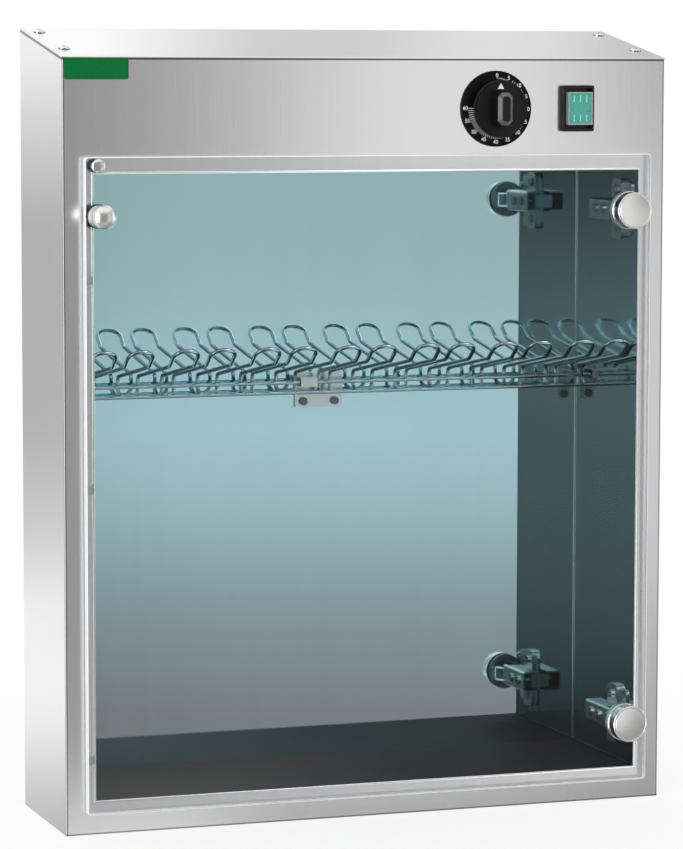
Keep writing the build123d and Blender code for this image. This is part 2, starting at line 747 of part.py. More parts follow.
for level, z in HINGE_HEIGHTS.items():
    with BuildPart() as hinge_plate:
        wall = OPENING_HALF
        block((wall - 1.5, wall), (front_y(12), front_y(52)), (z - 22.3, z + 22.3))
        fillet(hinge_plate.edges().filter_by(Axis.X), radius=4)
        block(
            (wall - PLATE_THICK, wall),
            (front_y(26), front_y(46)),
            (z - 24.8, z + 24.8),
        )
        fillet(
            hinge_plate.edges().filter_by(Axis.X).group_by(Axis.Z)[0]
            + hinge_plate.edges().filter_by(Axis.X).group_by(Axis.Z)[-1],
            radius=5,
        )
        block((BOSS_X, wall), (front_y(16), front_y(56)), (z - 5.5, z + 5.5))
        for dz in (-WALL_HOLE_SPACING / 2, WALL_HOLE_SPACING / 2):
            hole_y = front_y(WALL_HOLE_DEPTH)
            bar(
                (wall - PLATE_THICK - 1, hole_y, z + dz),
                (wall + 1, hole_y, z + dz),
                2.1,
                mode=Mode.SUBTRACT,
            )
        for depth in ARM_SCREW_DEPTHS:
            bar((BOSS_X - 1, front_y(depth), z), (BOSS_X + 5, front_y(depth), z), 2.55, mode=Mode.SUBTRACT)
    hinge_plate.part.label = f"hinge_plate_{level}"
    export_step(hinge_plate.part, f"parts/hinge_plate_{level}.step")

    with BuildPart() as hinge_arm:
        block((ARM_FACE_X, wall - PLATE_THICK), (front_y(12), front_y(60)), (z - ARM_HALF, z + ARM_HALF))
        fillet(
            hinge_arm.edges().filter_by(Axis.Y).group_by(Axis.X)[0],
            radius=2.5,
        )
        block(
            (ARM_FACE_X + 1.5, wall),
            (front_y(11), front_y(61)),
            (z - ARM_HALF + 1.5, z + ARM_HALF - 1.5),
            mode=Mode.SUBTRACT,
        )
        block(
            (ARM_FACE_X + 2, wall + 1),
            (front_y(10), front_y(20)),
            (z - ARM_HALF - 1, z + ARM_HALF + 1),
            mode=Mode.SUBTRACT,
        )
        with BuildSketch(Plane.XY.offset(z - CHEEK_OUTER)) as cheeks:
            with BuildLine():
                tip_x, tip_y = plan(ARM_PIN)
                Polyline(
                    (tip_x - 2.6, tip_y),
                    (tip_x - 2.6, tip_y + 3),
                    (ARM_FACE_X, front_y(14)),
                    (ARM_FACE_X + 1.5, front_y(30)),
                    (ARM_FACE_X + 7, front_y(30)),
                    (ARM_FACE_X + 7, front_y(16)),
                    (tip_x + 2.6, tip_y + 5),
                    (tip_x + 2.6, tip_y),
                    close=True,
                )
            make_face()
            with Locations((tip_x, tip_y)):
                Circle(2.6)
        extrude(cheeks.sketch, amount=2 * CHEEK_OUTER)
        block(
            (tip_x - 4, ARM_FACE_X + 8),
            (tip_y - 4, front_y(31)),
            (z - CHEEK_INNER, z + CHEEK_INNER),
            mode=Mode.SUBTRACT,
        )
        block(
            (ARM_FACE_X, ARM_FACE_X + 1.5),
            (front_y(12), front_y(31)),
            (z - CHEEK_INNER - 0.5, z + CHEEK_INNER + 0.5),
        )
        upright(ARM_PIN, z - 7, z + 7, PIN_RADIUS, mode=Mode.SUBTRACT)
        for depth in ARM_SCREW_DEPTHS:
            bar(
                (ARM_FACE_X - 1, front_y(depth), z),
                (ARM_FACE_X + 3, front_y(depth), z),
                2.6,
                mode=Mode.SUBTRACT,
            )
    hinge_arm.part.label = f"hinge_arm_{level}"
    export_step(hinge_arm.part, f"parts/hinge_arm_{level}.step")

    with BuildPart() as hinge_link:
        slab_between(ARM_PIN, CUP_PIN, LINK_RADIUS, z - 4.3, z + 4.3)
        for point in (ARM_PIN, CUP_PIN):
            upright(point, z - 5, z + 5, PIN_RADIUS + RUNNING_GAP, mode=Mode.SUBTRACT)
    hinge_link.part.label = f"hinge_link_{level}"
    export_step(hinge_link.part, f"parts/hinge_link_{level}.step")

    with BuildPart() as hinge_cup:
        bowl = [
            (0, -PANE_THICK),
            (CUP_RADIUS - 0.1, -PANE_THICK),
            (CUP_RADIUS - 0.1, 0),
            (CUP_RADIUS + 2.5, 0),
            (CUP_RADIUS + 2.5, 1),
            (CUP_BOWL, 1),
            (CUP_BOWL, -PANE_THICK + 1.2),
            (0, -PANE_THICK + 1.2),
        ]
        turned(bowl, CUP_X, z, depth=-PANE_GAP)
        pin_x, pin_y = plan(CUP_PIN)
        for low in (z - EAR_OUTER, z + EAR_INNER):
            with BuildSketch(Plane.XY.offset(low)) as ear:
                with BuildLine():
                    Polyline(
                        (pin_x - EAR_RADIUS, pin_y),
                        (pin_x + EAR_RADIUS, pin_y),
                        (pin_x - 0.6, front_y(-PANE_GAP + 1)),
                        (pin_x - 0.6, front_y(-PANE_GAP)),
                        (pin_x - 5, front_y(-PANE_GAP)),
                        close=True,
                    )
                make_face()
                with Locations((pin_x, pin_y)):
                    Circle(EAR_RADIUS)
            extrude(ear.sketch, amount=EAR_OUTER - EAR_INNER)
        upright(CUP_PIN, z - 9, z + 9, PIN_RADIUS, mode=Mode.SUBTRACT)
    hinge_cup.part.label = f"hinge_cup_{level}"
    export_step(hinge_cup.part, f"parts/hinge_cup_{level}.step")

    with BuildPart() as hinge_cap:
        cover = [
            (0, 0),
            (CAP_RADIUS + 0.5, 0),
            (CAP_RADIUS + 0.5, -1.2),
            (CAP_RADIUS - 1.5, -1.2),
            (CAP_RADIUS - 1.5, -3.0),
            (CAP_RADIUS, -3.0),
            (CAP_RADIUS, -CAP_HEIGHT + 1),
            (CAP_RADIUS - 1, -CAP_HEIGHT),
            (0, -CAP_HEIGHT),
        ]
        turned(cover, CUP_X, z, depth=-PANE_FACE)
    hinge_cap.part.label = f"hinge_cap_{level}"
    export_step(hinge_cap.part, f"parts/hinge_cap_{level}.step")

with BuildPart() as hinge_plate_screws:
    for z in HINGE_HEIGHTS.values():
        for dz in (-WALL_HOLE_SPACING / 2, WALL_HOLE_SPACING / 2):
            y = front_y(WALL_HOLE_DEPTH)
            face = OPENING_HALF - PLATE_THICK
            bar((face, y, z + dz), (OPENING_HALF + LINER + 2, y, z + dz), 2.05)
            bar((face - 1.8, y, z + dz), (face, y, z + dz), 3.6)
    for z in HINGE_HEIGHTS.values():
        for dz in (-WALL_HOLE_SPACING / 2, WALL_HOLE_SPACING / 2):
            y = front_y(WALL_HOLE_DEPTH)
            face = OPENING_HALF - PLATE_THICK - 1.8
            for dy, height in ((2.2, 0.4), (0.4, 2.2)):
                block(
                    (face - 1, face + 1),
                    (y - dy, y + dy),
                    (z + dz - height, z + dz + height),
                    mode=Mode.SUBTRACT,
                )
hinge_plate_screws.part.label = "hinge_plate_screws"
export_step(hinge_plate_screws.part, "parts/hinge_plate_screws.step")

with BuildPart() as hinge_arm_screws:
    for z in HINGE_HEIGHTS.values():
        for depth in ARM_SCREW_DEPTHS:
            y = front_y(depth)
            bar((ARM_FACE_X, y, z), (BOSS_X + 4.5, y, z), 2.5)
            bar((ARM_FACE_X - 1.6, y, z), (ARM_FACE_X, y, z), 3.8)
            for dy, height in ((2.4, 0.4), (0.4, 2.4)):
                block(
                    (ARM_FACE_X - 2, ARM_FACE_X - 0.6),
                    (y - dy, y + dy),
                    (z - height, z + height),
                    mode=Mode.SUBTRACT,
                )
hinge_arm_screws.part.label = "hinge_arm_screws"
export_step(hinge_arm_screws.part, "parts/hinge_arm_screws.step")

with BuildPart() as hinge_arm_pins:
    for z in HINGE_HEIGHTS.values():
        upright(ARM_PIN, z - CHEEK_OUTER, z + CHEEK_OUTER, PIN_RADIUS)
hinge_arm_pins.part.label = "hinge_arm_pins"
export_step(hinge_arm_pins.part, "parts/hinge_arm_pins.step")

with BuildPart() as hinge_cup_pins:
    for z in HINGE_HEIGHTS.values():
        upright(CUP_PIN, z - EAR_OUTER, z + EAR_OUTER, PIN_RADIUS)
hinge_cup_pins.part.label = "hinge_cup_pins"
export_step(hinge_cup_pins.part, "parts/hinge_cup_pins.step")

# Door knob on its washer, with the screw from behind, and the striker.
KNOB_BALL = 9.7
with BuildPart() as knob_washer:
    turned([(2.2, 0), (9.6, 0), (9.6, -1.4), (2.2, -1.4)], KNOB_X, KNOB_Z, depth=-PANE_FACE)
knob_washer.part.label = "knob_washer"
export_step(knob_washer.part, "parts/knob_washer.step")

with BuildPart() as door_knob:
    base_y = -PANE_FACE - 1.4
    collar = [(0, 0), (8.9, 0), (8.9, -3.5), (7.4, -7.0), (6.8, -9.5), (6.8, -14.0), (0, -14.0)]
    turned(collar, KNOB_X, KNOB_Z, depth=base_y)
    with Locations((KNOB_X, front_y(base_y - 17.5), KNOB_Z)):
        Sphere(KNOB_BALL)
    block(
        (KNOB_X - 12, KNOB_X + 12),
        (front_y(base_y - 30), front_y(base_y - 26)),
        (KNOB_Z - 12, KNOB_Z + 12),
        mode=Mode.SUBTRACT,
    )
    fillet(door_knob.edges().group_by(Axis.Y)[0], radius=1.5)
    bar(
        (KNOB_X, front_y(base_y + 1), KNOB_Z),
        (KNOB_X, front_y(base_y - 9), KNOB_Z),
        2.05,
        mode=Mode.SUBTRACT,
    )
door_knob.part.label = "door_knob"
export_step(door_knob.part, "parts/door_knob.step")

with BuildPart() as knob_screw:
    bar((KNOB_X, front_y(-0.6), KNOB_Z), (KNOB_X, front_y(-PANE_GAP), KNOB_Z), 5.2)
    bar((KNOB_X, front_y(-PANE_GAP), KNOB_Z), (KNOB_X, front_y(base_y - 8.5), KNOB_Z), 2.0)
    block(
        (KNOB_X - 3, KNOB_X + 3),
        (front_y(-1.2), front_y(0)),
        (KNOB_Z - 0.5, KNOB_Z + 0.5),
        mode=Mode.SUBTRACT,
    )
knob_screw.part.label = "knob_screw"
export_step(knob_screw.part, "parts/knob_screw.step")

with BuildPart() as striker_screw:
    bar(
        (STRIKER_X, front_y(-PANE_FACE), STRIKER_Z),
        (STRIKER_X, front_y(PLUNGER_TIP - 0.1), STRIKER_Z),
        2.15,
    )
    turned(
        [(0, 0), (5.4, 0), (5.4, -1.6), (4.4, -2.8), (3.2, -3.1), (3.2, -1.2), (0, -1.2)],
        STRIKER_X,
        STRIKER_Z,
        depth=-PANE_FACE,
    )
striker_screw.part.label = "striker_screw"
export_step(striker_screw.part, "parts/striker_screw.step")

# Soft stops on the front panel that the free edge of the door closes on.
with BuildPart() as door_bumpers:
    for z in (60.0, 275.0, 440.0):
        bar(
            (-OPENING_HALF - 4, FRONT, z),
            (-OPENING_HALF - 4, front_y(-PANE_GAP + 0.1), z),
            3.5,
        )
door_bumpers.part.label = "door_bumpers"
export_step(door_bumpers.part, "parts/door_bumpers.step")

# Wire rack: two rods on clamps, with seven bent wires welded behind them. Each
# wire gives two hooks and ends where the next one starts.
ROD_END = 230.6
with BuildPart() as rack_rods:
    for z in ROD_HEIGHTS:
        y = front_y(ROD_DEPTH)
        bar((-ROD_END, y, z), (ROD_END, y, z), ROD_RADIUS)
rack_rods.part.label = "rack_rods"
export_step(rack_rods.part, "parts/rack_rods.step")

TIP_DEPTH = 9.5
TIP_HEIGHT = 382.0
FRONT_BEND_DEPTH = 27.0
FRONT_BEND_HEIGHT = 368.5
REAR_BEND_HEIGHT = 353.5
LEG_JOINT = ROD_HEIGHTS[1]
RETURN_HEIGHT = ROD_HEIGHTS[0] - 0.4
HOOK_RADII = [5.0, 8.0, 9.6, 9.6, 8.0, 5.0]
INNER_RETURN_RADIUS = 4.6
OUTER_RETURN_RADIUS = 7.5


def hook_points(centre):
    """Corner points of one hook's wire, from its left leg to its right leg."""
    left = [
        (centre - LEG_HALF, front_y(LEG_DEPTH), REAR_BEND_HEIGHT),
        (centre - LEG_HALF, front_y(FRONT_BEND_DEPTH), FRONT_BEND_HEIGHT),
        (centre - LEG_HALF, front_y(TIP_DEPTH), TIP_HEIGHT),
    ]
    right = [(2 * centre - x, y, z) for x, y, z in reversed(left)]
    return left + right


for number in range(HOOK_PAIRS):
    pair_x = (number - (HOOK_PAIRS - 1) / 2) * HOOK_PITCH
    leg_y = front_y(LEG_DEPTH)
    inner_half = HOOK_SPACING / 2 - LEG_HALF
    outer_half = HOOK_SPACING / 2 + LEG_HALF
    next_x = pair_x + HOOK_PITCH - outer_half
    first = number == 0
    last = number == HOOK_PAIRS - 1
    route = [(pair_x - outer_half, leg_y, RETURN_HEIGHT if first else LEG_JOINT)]
    route += hook_points(pair_x - HOOK_SPACING / 2)
    route += [(pair_x + x, leg_y, RETURN_HEIGHT) for x in (-inner_half, inner_half)]
    route += hook_points(pair_x + HOOK_SPACING / 2)
    route += [(pair_x + outer_half, leg_y, RETURN_HEIGHT)]
    radii = HOOK_RADII + [INNER_RETURN_RADIUS] * 2 + HOOK_RADII
    if not last:
        route += [(next_x, leg_y, RETURN_HEIGHT), (next_x, leg_y, LEG_JOINT)]
        radii += [OUTER_RETURN_RADIUS] * 2
    with BuildPart() as hook_wire:
        with BuildLine() as wire_path:
            FilletPolyline(*route, radius=radii)
        with BuildSketch(Plane(origin=wire_path.line @ 0, z_dir=wire_path.line % 0)):
            Circle(WIRE_RADIUS)
        sweep()
    hook_wire.part.label = f"hook_wire_{number + 1}"
    export_step(hook_wire.part, f"parts/hook_wire_{number + 1}.step")

# Clamps that hold the rods off the polished back, and their screws.
# Each has the middle of its tongue, and the left and right edges of its plate.
CLAMP_PLATE = 1.5
CLAMP_HEIGHTS = (323.0, 352.0)
TONGUE_HEIGHTS = (341.4, 348.9)
END_TONGUE = 2.8
MIDDLE_TONGUE = 7.0
CLAMPS = (
    (-CLAMP_X, -CLAMP_X - 6, -CLAMP_X + 6),
    (-HOOK_SPACING / 2, -23.0, 19.0),
    (CLAMP_X, CLAMP_X - 6, CLAMP_X + 6),
)
with BuildPart() as rack_brackets:
    clamp_back = front_y(MIRROR_DEPTH)
    clamp_front = front_y(ROD_DEPTH) - 3.4
    for x, low, high in CLAMPS:
        half = MIDDLE_TONGUE if x < 0 < high else END_TONGUE
        block((low, high), (clamp_back - CLAMP_PLATE, clamp_back), CLAMP_HEIGHTS)
        block((x - half, x + half), (clamp_front, clamp_back), TONGUE_HEIGHTS)
    y = front_y(ROD_DEPTH)
    z = ROD_HEIGHTS[1]
    bar((-ROD_END, y, z), (ROD_END, y, z), ROD_RADIUS, mode=Mode.SUBTRACT)
    for x in RACK_SCREW_XS:
        bar(
            (x, clamp_back - 2, RACK_SCREW_HEIGHT),
            (x, clamp_back + 1, RACK_SCREW_HEIGHT),
            RACK_SCREW_RADIUS + 0.05,
            mode=Mode.SUBTRACT,
        )
rack_brackets.part.label = "rack_brackets"
export_step(rack_brackets.part, "parts/rack_brackets.step")

with BuildPart() as rack_screws:
    for x in RACK_SCREW_XS:
        z = RACK_SCREW_HEIGHT
        face = clamp_back - CLAMP_PLATE
        bar((x, face, z), (x, REAR, z), RACK_SCREW_RADIUS)
        bar((x, face - 1.9, z), (x, face, z), 3.4)
rack_screws.part.label = "rack_screws"
export_step(rack_screws.part, "parts/rack_screws.step")

# Plain plate in the upper left corner of the front.
with BuildPart() as name_plate:
    with BuildSketch(behind(0)):
        with Locations((-SIDE + 27.6, 604.4)):
            RectangleRounded(52.0, 16.4, 1.8)
    extrude(amount=0.5)
name_plate.part.label = "name_plate"
export_step(name_plate.part, "parts/name_plate.step")

# Inner wiring along the shelf, from the terminal block to each device.
WIRE_R = 1.3
SHELF_WIRE = SHELF + WIRE_R + 0.2
wire_routes = {
    "mains": [
        (GLAND_CENTRE[0] - 14, 30.0, GLAND_CENTRE[2]),
        (224.0, 30.0, GLAND_CENTRE[2]),
        (196.0, 30.0, SHELF + 22),
        (196.0, 30.0, SHELF + 15.3),
    ],
    "ballast": [
        (177.5, 30.0, SHELF_WIRE + 3),
        (150.0, 22.0, SHELF_WIRE),
        (60.0, 8.0, SHELF_WIRE),
        (-20.0, 4.0, SHELF_WIRE),
        (-190.0, 4.0, SHELF_WIRE),
        (-212.0, 14.0, SHELF_WIRE),
        (-231.0, 40.0, SHELF_WIRE),
    ],
    "switch": [
        (188.0, 18.5, SHELF_WIRE + 3),
        (182.0, 4.0, SHELF_WIRE),
        (177.0, -12.0, SHELF_WIRE),
        (SWITCH_X, front_y(40), SWITCH_Z),
        (SWITCH_X, front_y(25), SWITCH_Z + 4),
    ],
    "timer": [
        (182.0, 18.5, SHELF_WIRE + 3),
        (150.0, -2.0, SHELF_WIRE),
        (TIMER_X + 8, -8.0, SHELF_WIRE),
        (TIMER_X, front_y(46), TIMER_Z + 4),
        (TIMER_X, front_y(34), TIMER_Z + 4),
    ],
    "safety": [
        (STRIKER_X, front_y(SWITCH_BASE + 16.5), STRIKER_Z),
        (STRIKER_X, front_y(40), STRIKER_Z + 2),
        (STRIKER_X, front_y(47), 570.0),
        (STRIKER_X, -10.0, SHELF_WIRE + 4),
        (-212.0, 0.0, SHELF_WIRE),
        (-204.0, 12.0, SHELF_WIRE),
    ],
}
with BuildPart() as wiring:
    for points in wire_routes.values():
        with BuildLine() as run:
            FilletPolyline(*points, radius=2.6)
        with BuildSketch(Plane(origin=run.line @ 0, z_dir=run.line % 0)):
            Circle(WIRE_R)
        sweep(path=run.line)
wiring.part.label = "wiring"
export_step(wiring.part, "parts/wiring.step")
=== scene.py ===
import math

import bpy
from mathutils import Matrix, Vector


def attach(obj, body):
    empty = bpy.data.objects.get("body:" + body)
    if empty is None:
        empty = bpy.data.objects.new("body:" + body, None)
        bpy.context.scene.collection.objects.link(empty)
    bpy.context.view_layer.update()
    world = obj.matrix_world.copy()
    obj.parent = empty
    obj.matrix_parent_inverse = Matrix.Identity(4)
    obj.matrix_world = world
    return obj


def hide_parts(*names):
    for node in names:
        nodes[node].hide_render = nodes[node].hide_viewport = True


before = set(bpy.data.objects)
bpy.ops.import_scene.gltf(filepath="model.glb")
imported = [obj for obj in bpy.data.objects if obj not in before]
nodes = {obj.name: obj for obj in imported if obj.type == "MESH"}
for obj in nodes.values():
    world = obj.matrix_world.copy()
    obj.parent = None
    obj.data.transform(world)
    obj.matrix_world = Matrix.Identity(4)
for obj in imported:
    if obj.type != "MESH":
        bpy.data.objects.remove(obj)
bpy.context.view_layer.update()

# Camera: a long lens from the left and a little above. Its place, angles and
# focal length were fitted to the corners of the cabinet. The focal length is
# in pixels of the frame's longer side, and the angles are in degrees.
FOCAL_PIXELS = 3613.7
FRAME_PIXELS = 849
SENSOR = 36.0
CAMERA_PLACE = (-0.97144, -2.79497, 0.60300)
CAMERA_HEADING = -19.124
CAMERA_DOWN = 5.588
CAMERA_ROLL = 0.099
camera_data = bpy.data.cameras.new("camera")
camera_data.sensor_width = SENSOR
camera_data.lens = FOCAL_PIXELS * SENSOR / FRAME_PIXELS
camera_data.clip_start = 0.05
camera = bpy.data.objects.new("camera", camera_data)
bpy.context.scene.collection.objects.link(camera)
turn = Matrix.Rotation(math.radians(CAMERA_HEADING), 4, "Z")
turn = turn @ Matrix.Rotation(math.radians(90 - CAMERA_DOWN), 4, "X")
turn = turn @ Matrix.Rotation(math.radians(CAMERA_ROLL), 4, "Z")
camera.matrix_world = Matrix.Translation(CAMERA_PLACE) @ turn
bpy.context.scene.camera = camera
bpy.context.scene.view_settings.view_transform = "Standard"


# Studio: a white room. Plain light falls on everything, while the metal
# mirrors soft boxes to the left, right and above, and a dimmer room in front.
def add_node(tree, kind, **settings):
    """One shader node with its sockets or properties set by name."""
    node = tree.nodes.new(kind)
    for key, value in settings.items():
        if key in node.inputs:
            node.inputs[key].default_value = value
        else:
            setattr(node, key, value)
    return node


def ramp_of(tree, value, low, high, stops):
    """A colour ramp over a value that runs from low to high."""
    spread = tree.nodes.new("ShaderNodeMapRange")
    spread.inputs["From Min"].default_value = low
    spread.inputs["From Max"].default_value = high
    tree.links.new(value, spread.inputs["Value"])
    node = tree.nodes.new("ShaderNodeValToRGB")
    while len(node.color_ramp.elements) < len(stops):
        node.color_ramp.elements.new(0.5)
    for element, (place, colour) in zip(node.color_ramp.elements, stops):
        element.position = (place - low) / (high - low)
        if isinstance(colour, (int, float)):
            colour = (colour, colour, colour)
        element.color = (*colour, 1)
    tree.links.new(spread.outputs["Result"], node.inputs["Fac"])
    return node.outputs["Color"]


def mixed(tree, factor, first, second, blend="MIX"):
    """Mix, multiply or add two colours, each given or linked."""
    node = tree.nodes.new("ShaderNodeMix")
    node.data_type = "RGBA"
    node.blend_type = blend
    for index, value in ((0, factor), (6, first), (7, second)):
        socket = node.inputs[index]
        if isinstance(value, (int, float)):
            socket.default_value = value
        elif isinstance(value, tuple):
            socket.default_value = (*value, 1)
        else:
            tree.links.new(value, socket)
    return node.outputs[2]


world = bpy.data.worlds.new("studio")
bpy.context.scene.world = world
world.use_nodes = True
world.cycles.sampling_method = "NONE"
sky = world.node_tree
sky.nodes.clear()
direction = add_node(sky, "ShaderNodeTexCoord")
toward = add_node(sky, "ShaderNodeSeparateXYZ")
sky.links.new(direction.outputs["Generated"], toward.inputs[0])
rays = add_node(sky, "ShaderNodeLightPath")
left_box = mixed(
    sky,
    1.0,
    ramp_of(sky, toward.outputs["X"], -1, 0, [(-1, 1), (-0.86, 1), (-0.76, 0), (0, 0)]),
    ramp_of(sky, toward.outputs["Y"], -1, 1, [(-1, 1), (-0.12, 1), (0.05, 0), (1, 0)]),
    "MULTIPLY",
)
right_box = ramp_of(sky, toward.outputs["X"], 0, 1, [(0, 0), (0.8, 0), (0.95, 1), (1, 1)])
top_box = ramp_of(sky, toward.outputs["Z"], 0, 1, [(0, 0), (0.5, 0), (0.75, 1), (1, 1)])
room = ramp_of(sky, toward.outputs["Y"], -1, 1, [(-1, 0.34), (-0.1, 0.42), (0.4, 0.80), (1, 0.86)])
room_side = ramp_of(
    sky, toward.outputs["X"], -1, 1, [(-1, 1.1), (-0.1, 1.1), (0.3, 0.95), (1, 0.85)]
)
room = mixed(sky, 1.0, room, room_side, "MULTIPLY")
room = mixed(sky, left_box, room, (4.2, 4.2, 4.2))
room = mixed(sky, right_box, room, (1.3, 1.3, 1.3))
room = mixed(sky, top_box, room, (1.05, 1.05, 1.05))
# The outlook is what the polished chamber mirrors out through the door: by
# height, by side, a dark band over the floor, and the wall on the left.
outlook = ramp_of(
    sky,
    toward.outputs["Z"],
    -0.4,
    1.0,
    [
        (-0.4, 0.85),
        (-0.205, 0.80),
        (-0.186, (0.31, 0.22, 0.215)),
        (-0.179, (0.313, 0.22, 0.216)),
        (-0.157, (0.372, 0.298, 0.30)),
        (-0.146, (0.40, 0.345, 0.355)),
        (-0.118, (0.538, 0.523, 0.539)),
        (-0.099, (0.60, 0.60, 0.62)),
        (-0.052, (0.50, 0.49, 0.49)),
        (-0.033, (0.484, 0.475, 0.47)),
        (0.0, 0.47),
        (0.1, 0.40),
        (0.28, 0.30),
        (0.42, 1.6),
        (0.6, 2.4),
        (0.85, 2.0),
        (1.0, 1.2),
    ],
)
outlook_side = ramp_of(
    sky,
    toward.outputs["X"],
    -1,
    1,
    [
        (-1, 1),
        (0.10, 0.5),
        (0.20, 0.70),
        (0.262, 0.93),
        (0.29, 1.0),
        (0.385, 1.0),
        (0.40, 1.5),
        (0.44, 2.0),
        (1, 1.2),
    ],
)
outlook = mixed(sky, 1.0, outlook, outlook_side, "MULTIPLY")
over_floor = ramp_of(
    sky,
    toward.outputs["X"],
    -1,
    1,
    [(-1, 0.2), (0.26, 0.30), (0.305, 0.26), (0.345, 0.04), (1, 0.04)],
)
floor_band = ramp_of(
    sky, toward.outputs["Z"], 0, 1, [(0, 0), (0.03, 0), (0.06, 1), (0.26, 1), (0.34, 0)]
)
outlook = mixed(sky, floor_band, outlook, over_floor)
wall_view = ramp_of(
    sky,
    toward.outputs["Z"],
    -0.4,
    1.0,
    [
        (-0.4, 0.04),
        (-0.184, 0.025),
        (-0.162, 0.07),
        (-0.118, 0.115),
        (-0.068, 0.15),
        (-0.045, 0.09),
        (-0.030, 0.055),
        (0.1, 0.06),
        (0.3, 0.5),
        (0.6, 1.6),
        (1.0, 1.2),
    ],
)
toward_wall = ramp_of(sky, toward.outputs["X"], -1, 1, [(-1, 1), (-0.12, 1), (0.08, 0), (1, 0)])
outlook = mixed(sky, toward_wall, outlook, wall_view)
outlook = mixed(sky, left_box, outlook, (2.6, 2.6, 2.6))
outlook = mixed(sky, right_box, outlook, (1.8, 1.8, 1.8))
seen = mixed(sky, rays.outputs["Is Glossy Ray"], (0.92, 0.92, 0.92), room)
seen = mixed(sky, rays.outputs["Is Transmission Ray"], seen, outlook)
seen = mixed(sky, rays.outputs["Is Camera Ray"], seen, (1.0, 1.0, 1.0))
background = add_node(sky, "ShaderNodeBackground")
sky.links.new(seen, background.inputs["Color"])
sky_out = add_node(sky, "ShaderNodeOutputWorld")
sky.links.new(background.outputs[0], sky_out.inputs["Surface"])

bpy.ops.object.select_all(action="DESELECT")
bpy.ops.mesh.primitive_plane_add(size=60, location=(0, 0, 0))
floor = bpy.context.object
floor.name = "studio_floor"
floor.visible_glossy = False
floor.visible_transmission = False
floor_paint = bpy.data.materials.new("floor_paint")
floor_paint.use_nodes = True
tree = floor_paint.node_tree
tree.nodes.clear()
rays = add_node(tree, "ShaderNodeLightPath")
matt = add_node(tree, "ShaderNodeBsdfDiffuse", Color=(0.90, 0.90, 0.90, 1))
white = add_node(tree, "ShaderNodeEmission", Color=(1, 1, 1, 1), Strength=1.0)
shown = tree.nodes.new("ShaderNodeMixShader")
spot = add_node(tree, "ShaderNodeTexCoord")
away = add_node(tree, "ShaderNodeVectorMath", operation="LENGTH")
tree.links.new(spot.outputs["Object"], away.inputs[0])
open_floor = ramp_of(
    tree, away.outputs["Value"], 0, 2, [(0, 0.72), (0.35, 0.80), (0.8, 1.0), (2, 1.0)]
)
tree.links.new(open_floor, shown.inputs[0])
tree.links.new(matt.outputs[0], shown.inputs[1])
tree.links.new(white.outputs[0], shown.inputs[2])
final = add_node(tree, "ShaderNodeMixShader")
tree.links.new(rays.outputs["Is Camera Ray"], final.inputs[0])
tree.links.new(matt.outputs[0], final.inputs[1])
tree.links.new(shown.outputs[0], final.inputs[2])
floor_out = add_node(tree, "ShaderNodeOutputMaterial")
tree.links.new(final.outputs[0], floor_out.inputs["Surface"])
floor.data.materials.append(floor_paint)


SOFT_EDGE = 0.72


def card(name, centre, width, height, rows, seen_by="glossy"):
    """A standing card for one kind of ray, with a light profile across it at each height."""
    bpy.ops.object.select_all(action="DESELECT")
    bpy.ops.mesh.primitive_plane_add(size=1, location=centre, rotation=(math.pi / 2, 0, 0))
    panel = bpy.context.object
    panel.scale = (width, height, 1)
    bpy.ops.object.transform_apply(location=True, rotation=True, scale=True)
    panel.name = name
    panel.visible_camera = False
    panel.visible_diffuse = False
    panel.visible_glossy = seen_by == "glossy"
    panel.visible_transmission = seen_by == "transmission"
    panel.visible_shadow = False
    paint = bpy.data.materials.new(name)
    paint.use_nodes = True
    paint.cycles.emission_sampling = "NONE"
    tree = paint.node_tree
    tree.nodes.clear()
    place = add_node(tree, "ShaderNodeTexCoord")
    place_parts = add_node(tree, "ShaderNodeSeparateXYZ")
    tree.links.new(place.outputs["Object"], place_parts.inputs[0])
    colour = None
    below = None
    for level, profile in rows:
        across = ramp_of(tree, place_parts.outputs["X"], profile[0][0], profile[-1][0], profile)
        if colour is None:
            colour = across
        else:
            rise = [(below, 0), (level, 1)]
            raised = ramp_of(tree, place_parts.outputs["Z"], below, level, rise)
            colour = mixed(tree, raised, colour, across)
        below = level
    glow = add_node(tree, "ShaderNodeEmission", Strength=1.0)
    tree.links.new(colour, glow.inputs["Color"])
    shade = None
    for axis, middle, reach in (("X", centre[0], width / 2), ("Z", centre[2], height / 2)):
        ends = (middle - reach, middle + reach)
        full = (middle - SOFT_EDGE * reach, middle + SOFT_EDGE * reach)
        stops = [(ends[0], 0), (full[0], 1), (full[1], 1), (ends[1], 0)]
        fade = ramp_of(tree, place_parts.outputs[axis], *ends, stops)
        shade = fade if shade is None else mixed(tree, 1.0, shade, fade, "MULTIPLY")
    clear = tree.nodes.new("ShaderNodeBsdfTransparent")
    blend = tree.nodes.new("ShaderNodeMixShader")
    tree.links.new(shade, blend.inputs[0])
    tree.links.new(clear.outputs[0], blend.inputs[1])
    tree.links.new(glow.outputs[0], blend.inputs[2])
    out = add_node(tree, "ShaderNodeOutputMaterial")
    tree.links.new(blend.outputs[0], out.inputs["Surface"])
    panel.data.materials.append(paint)


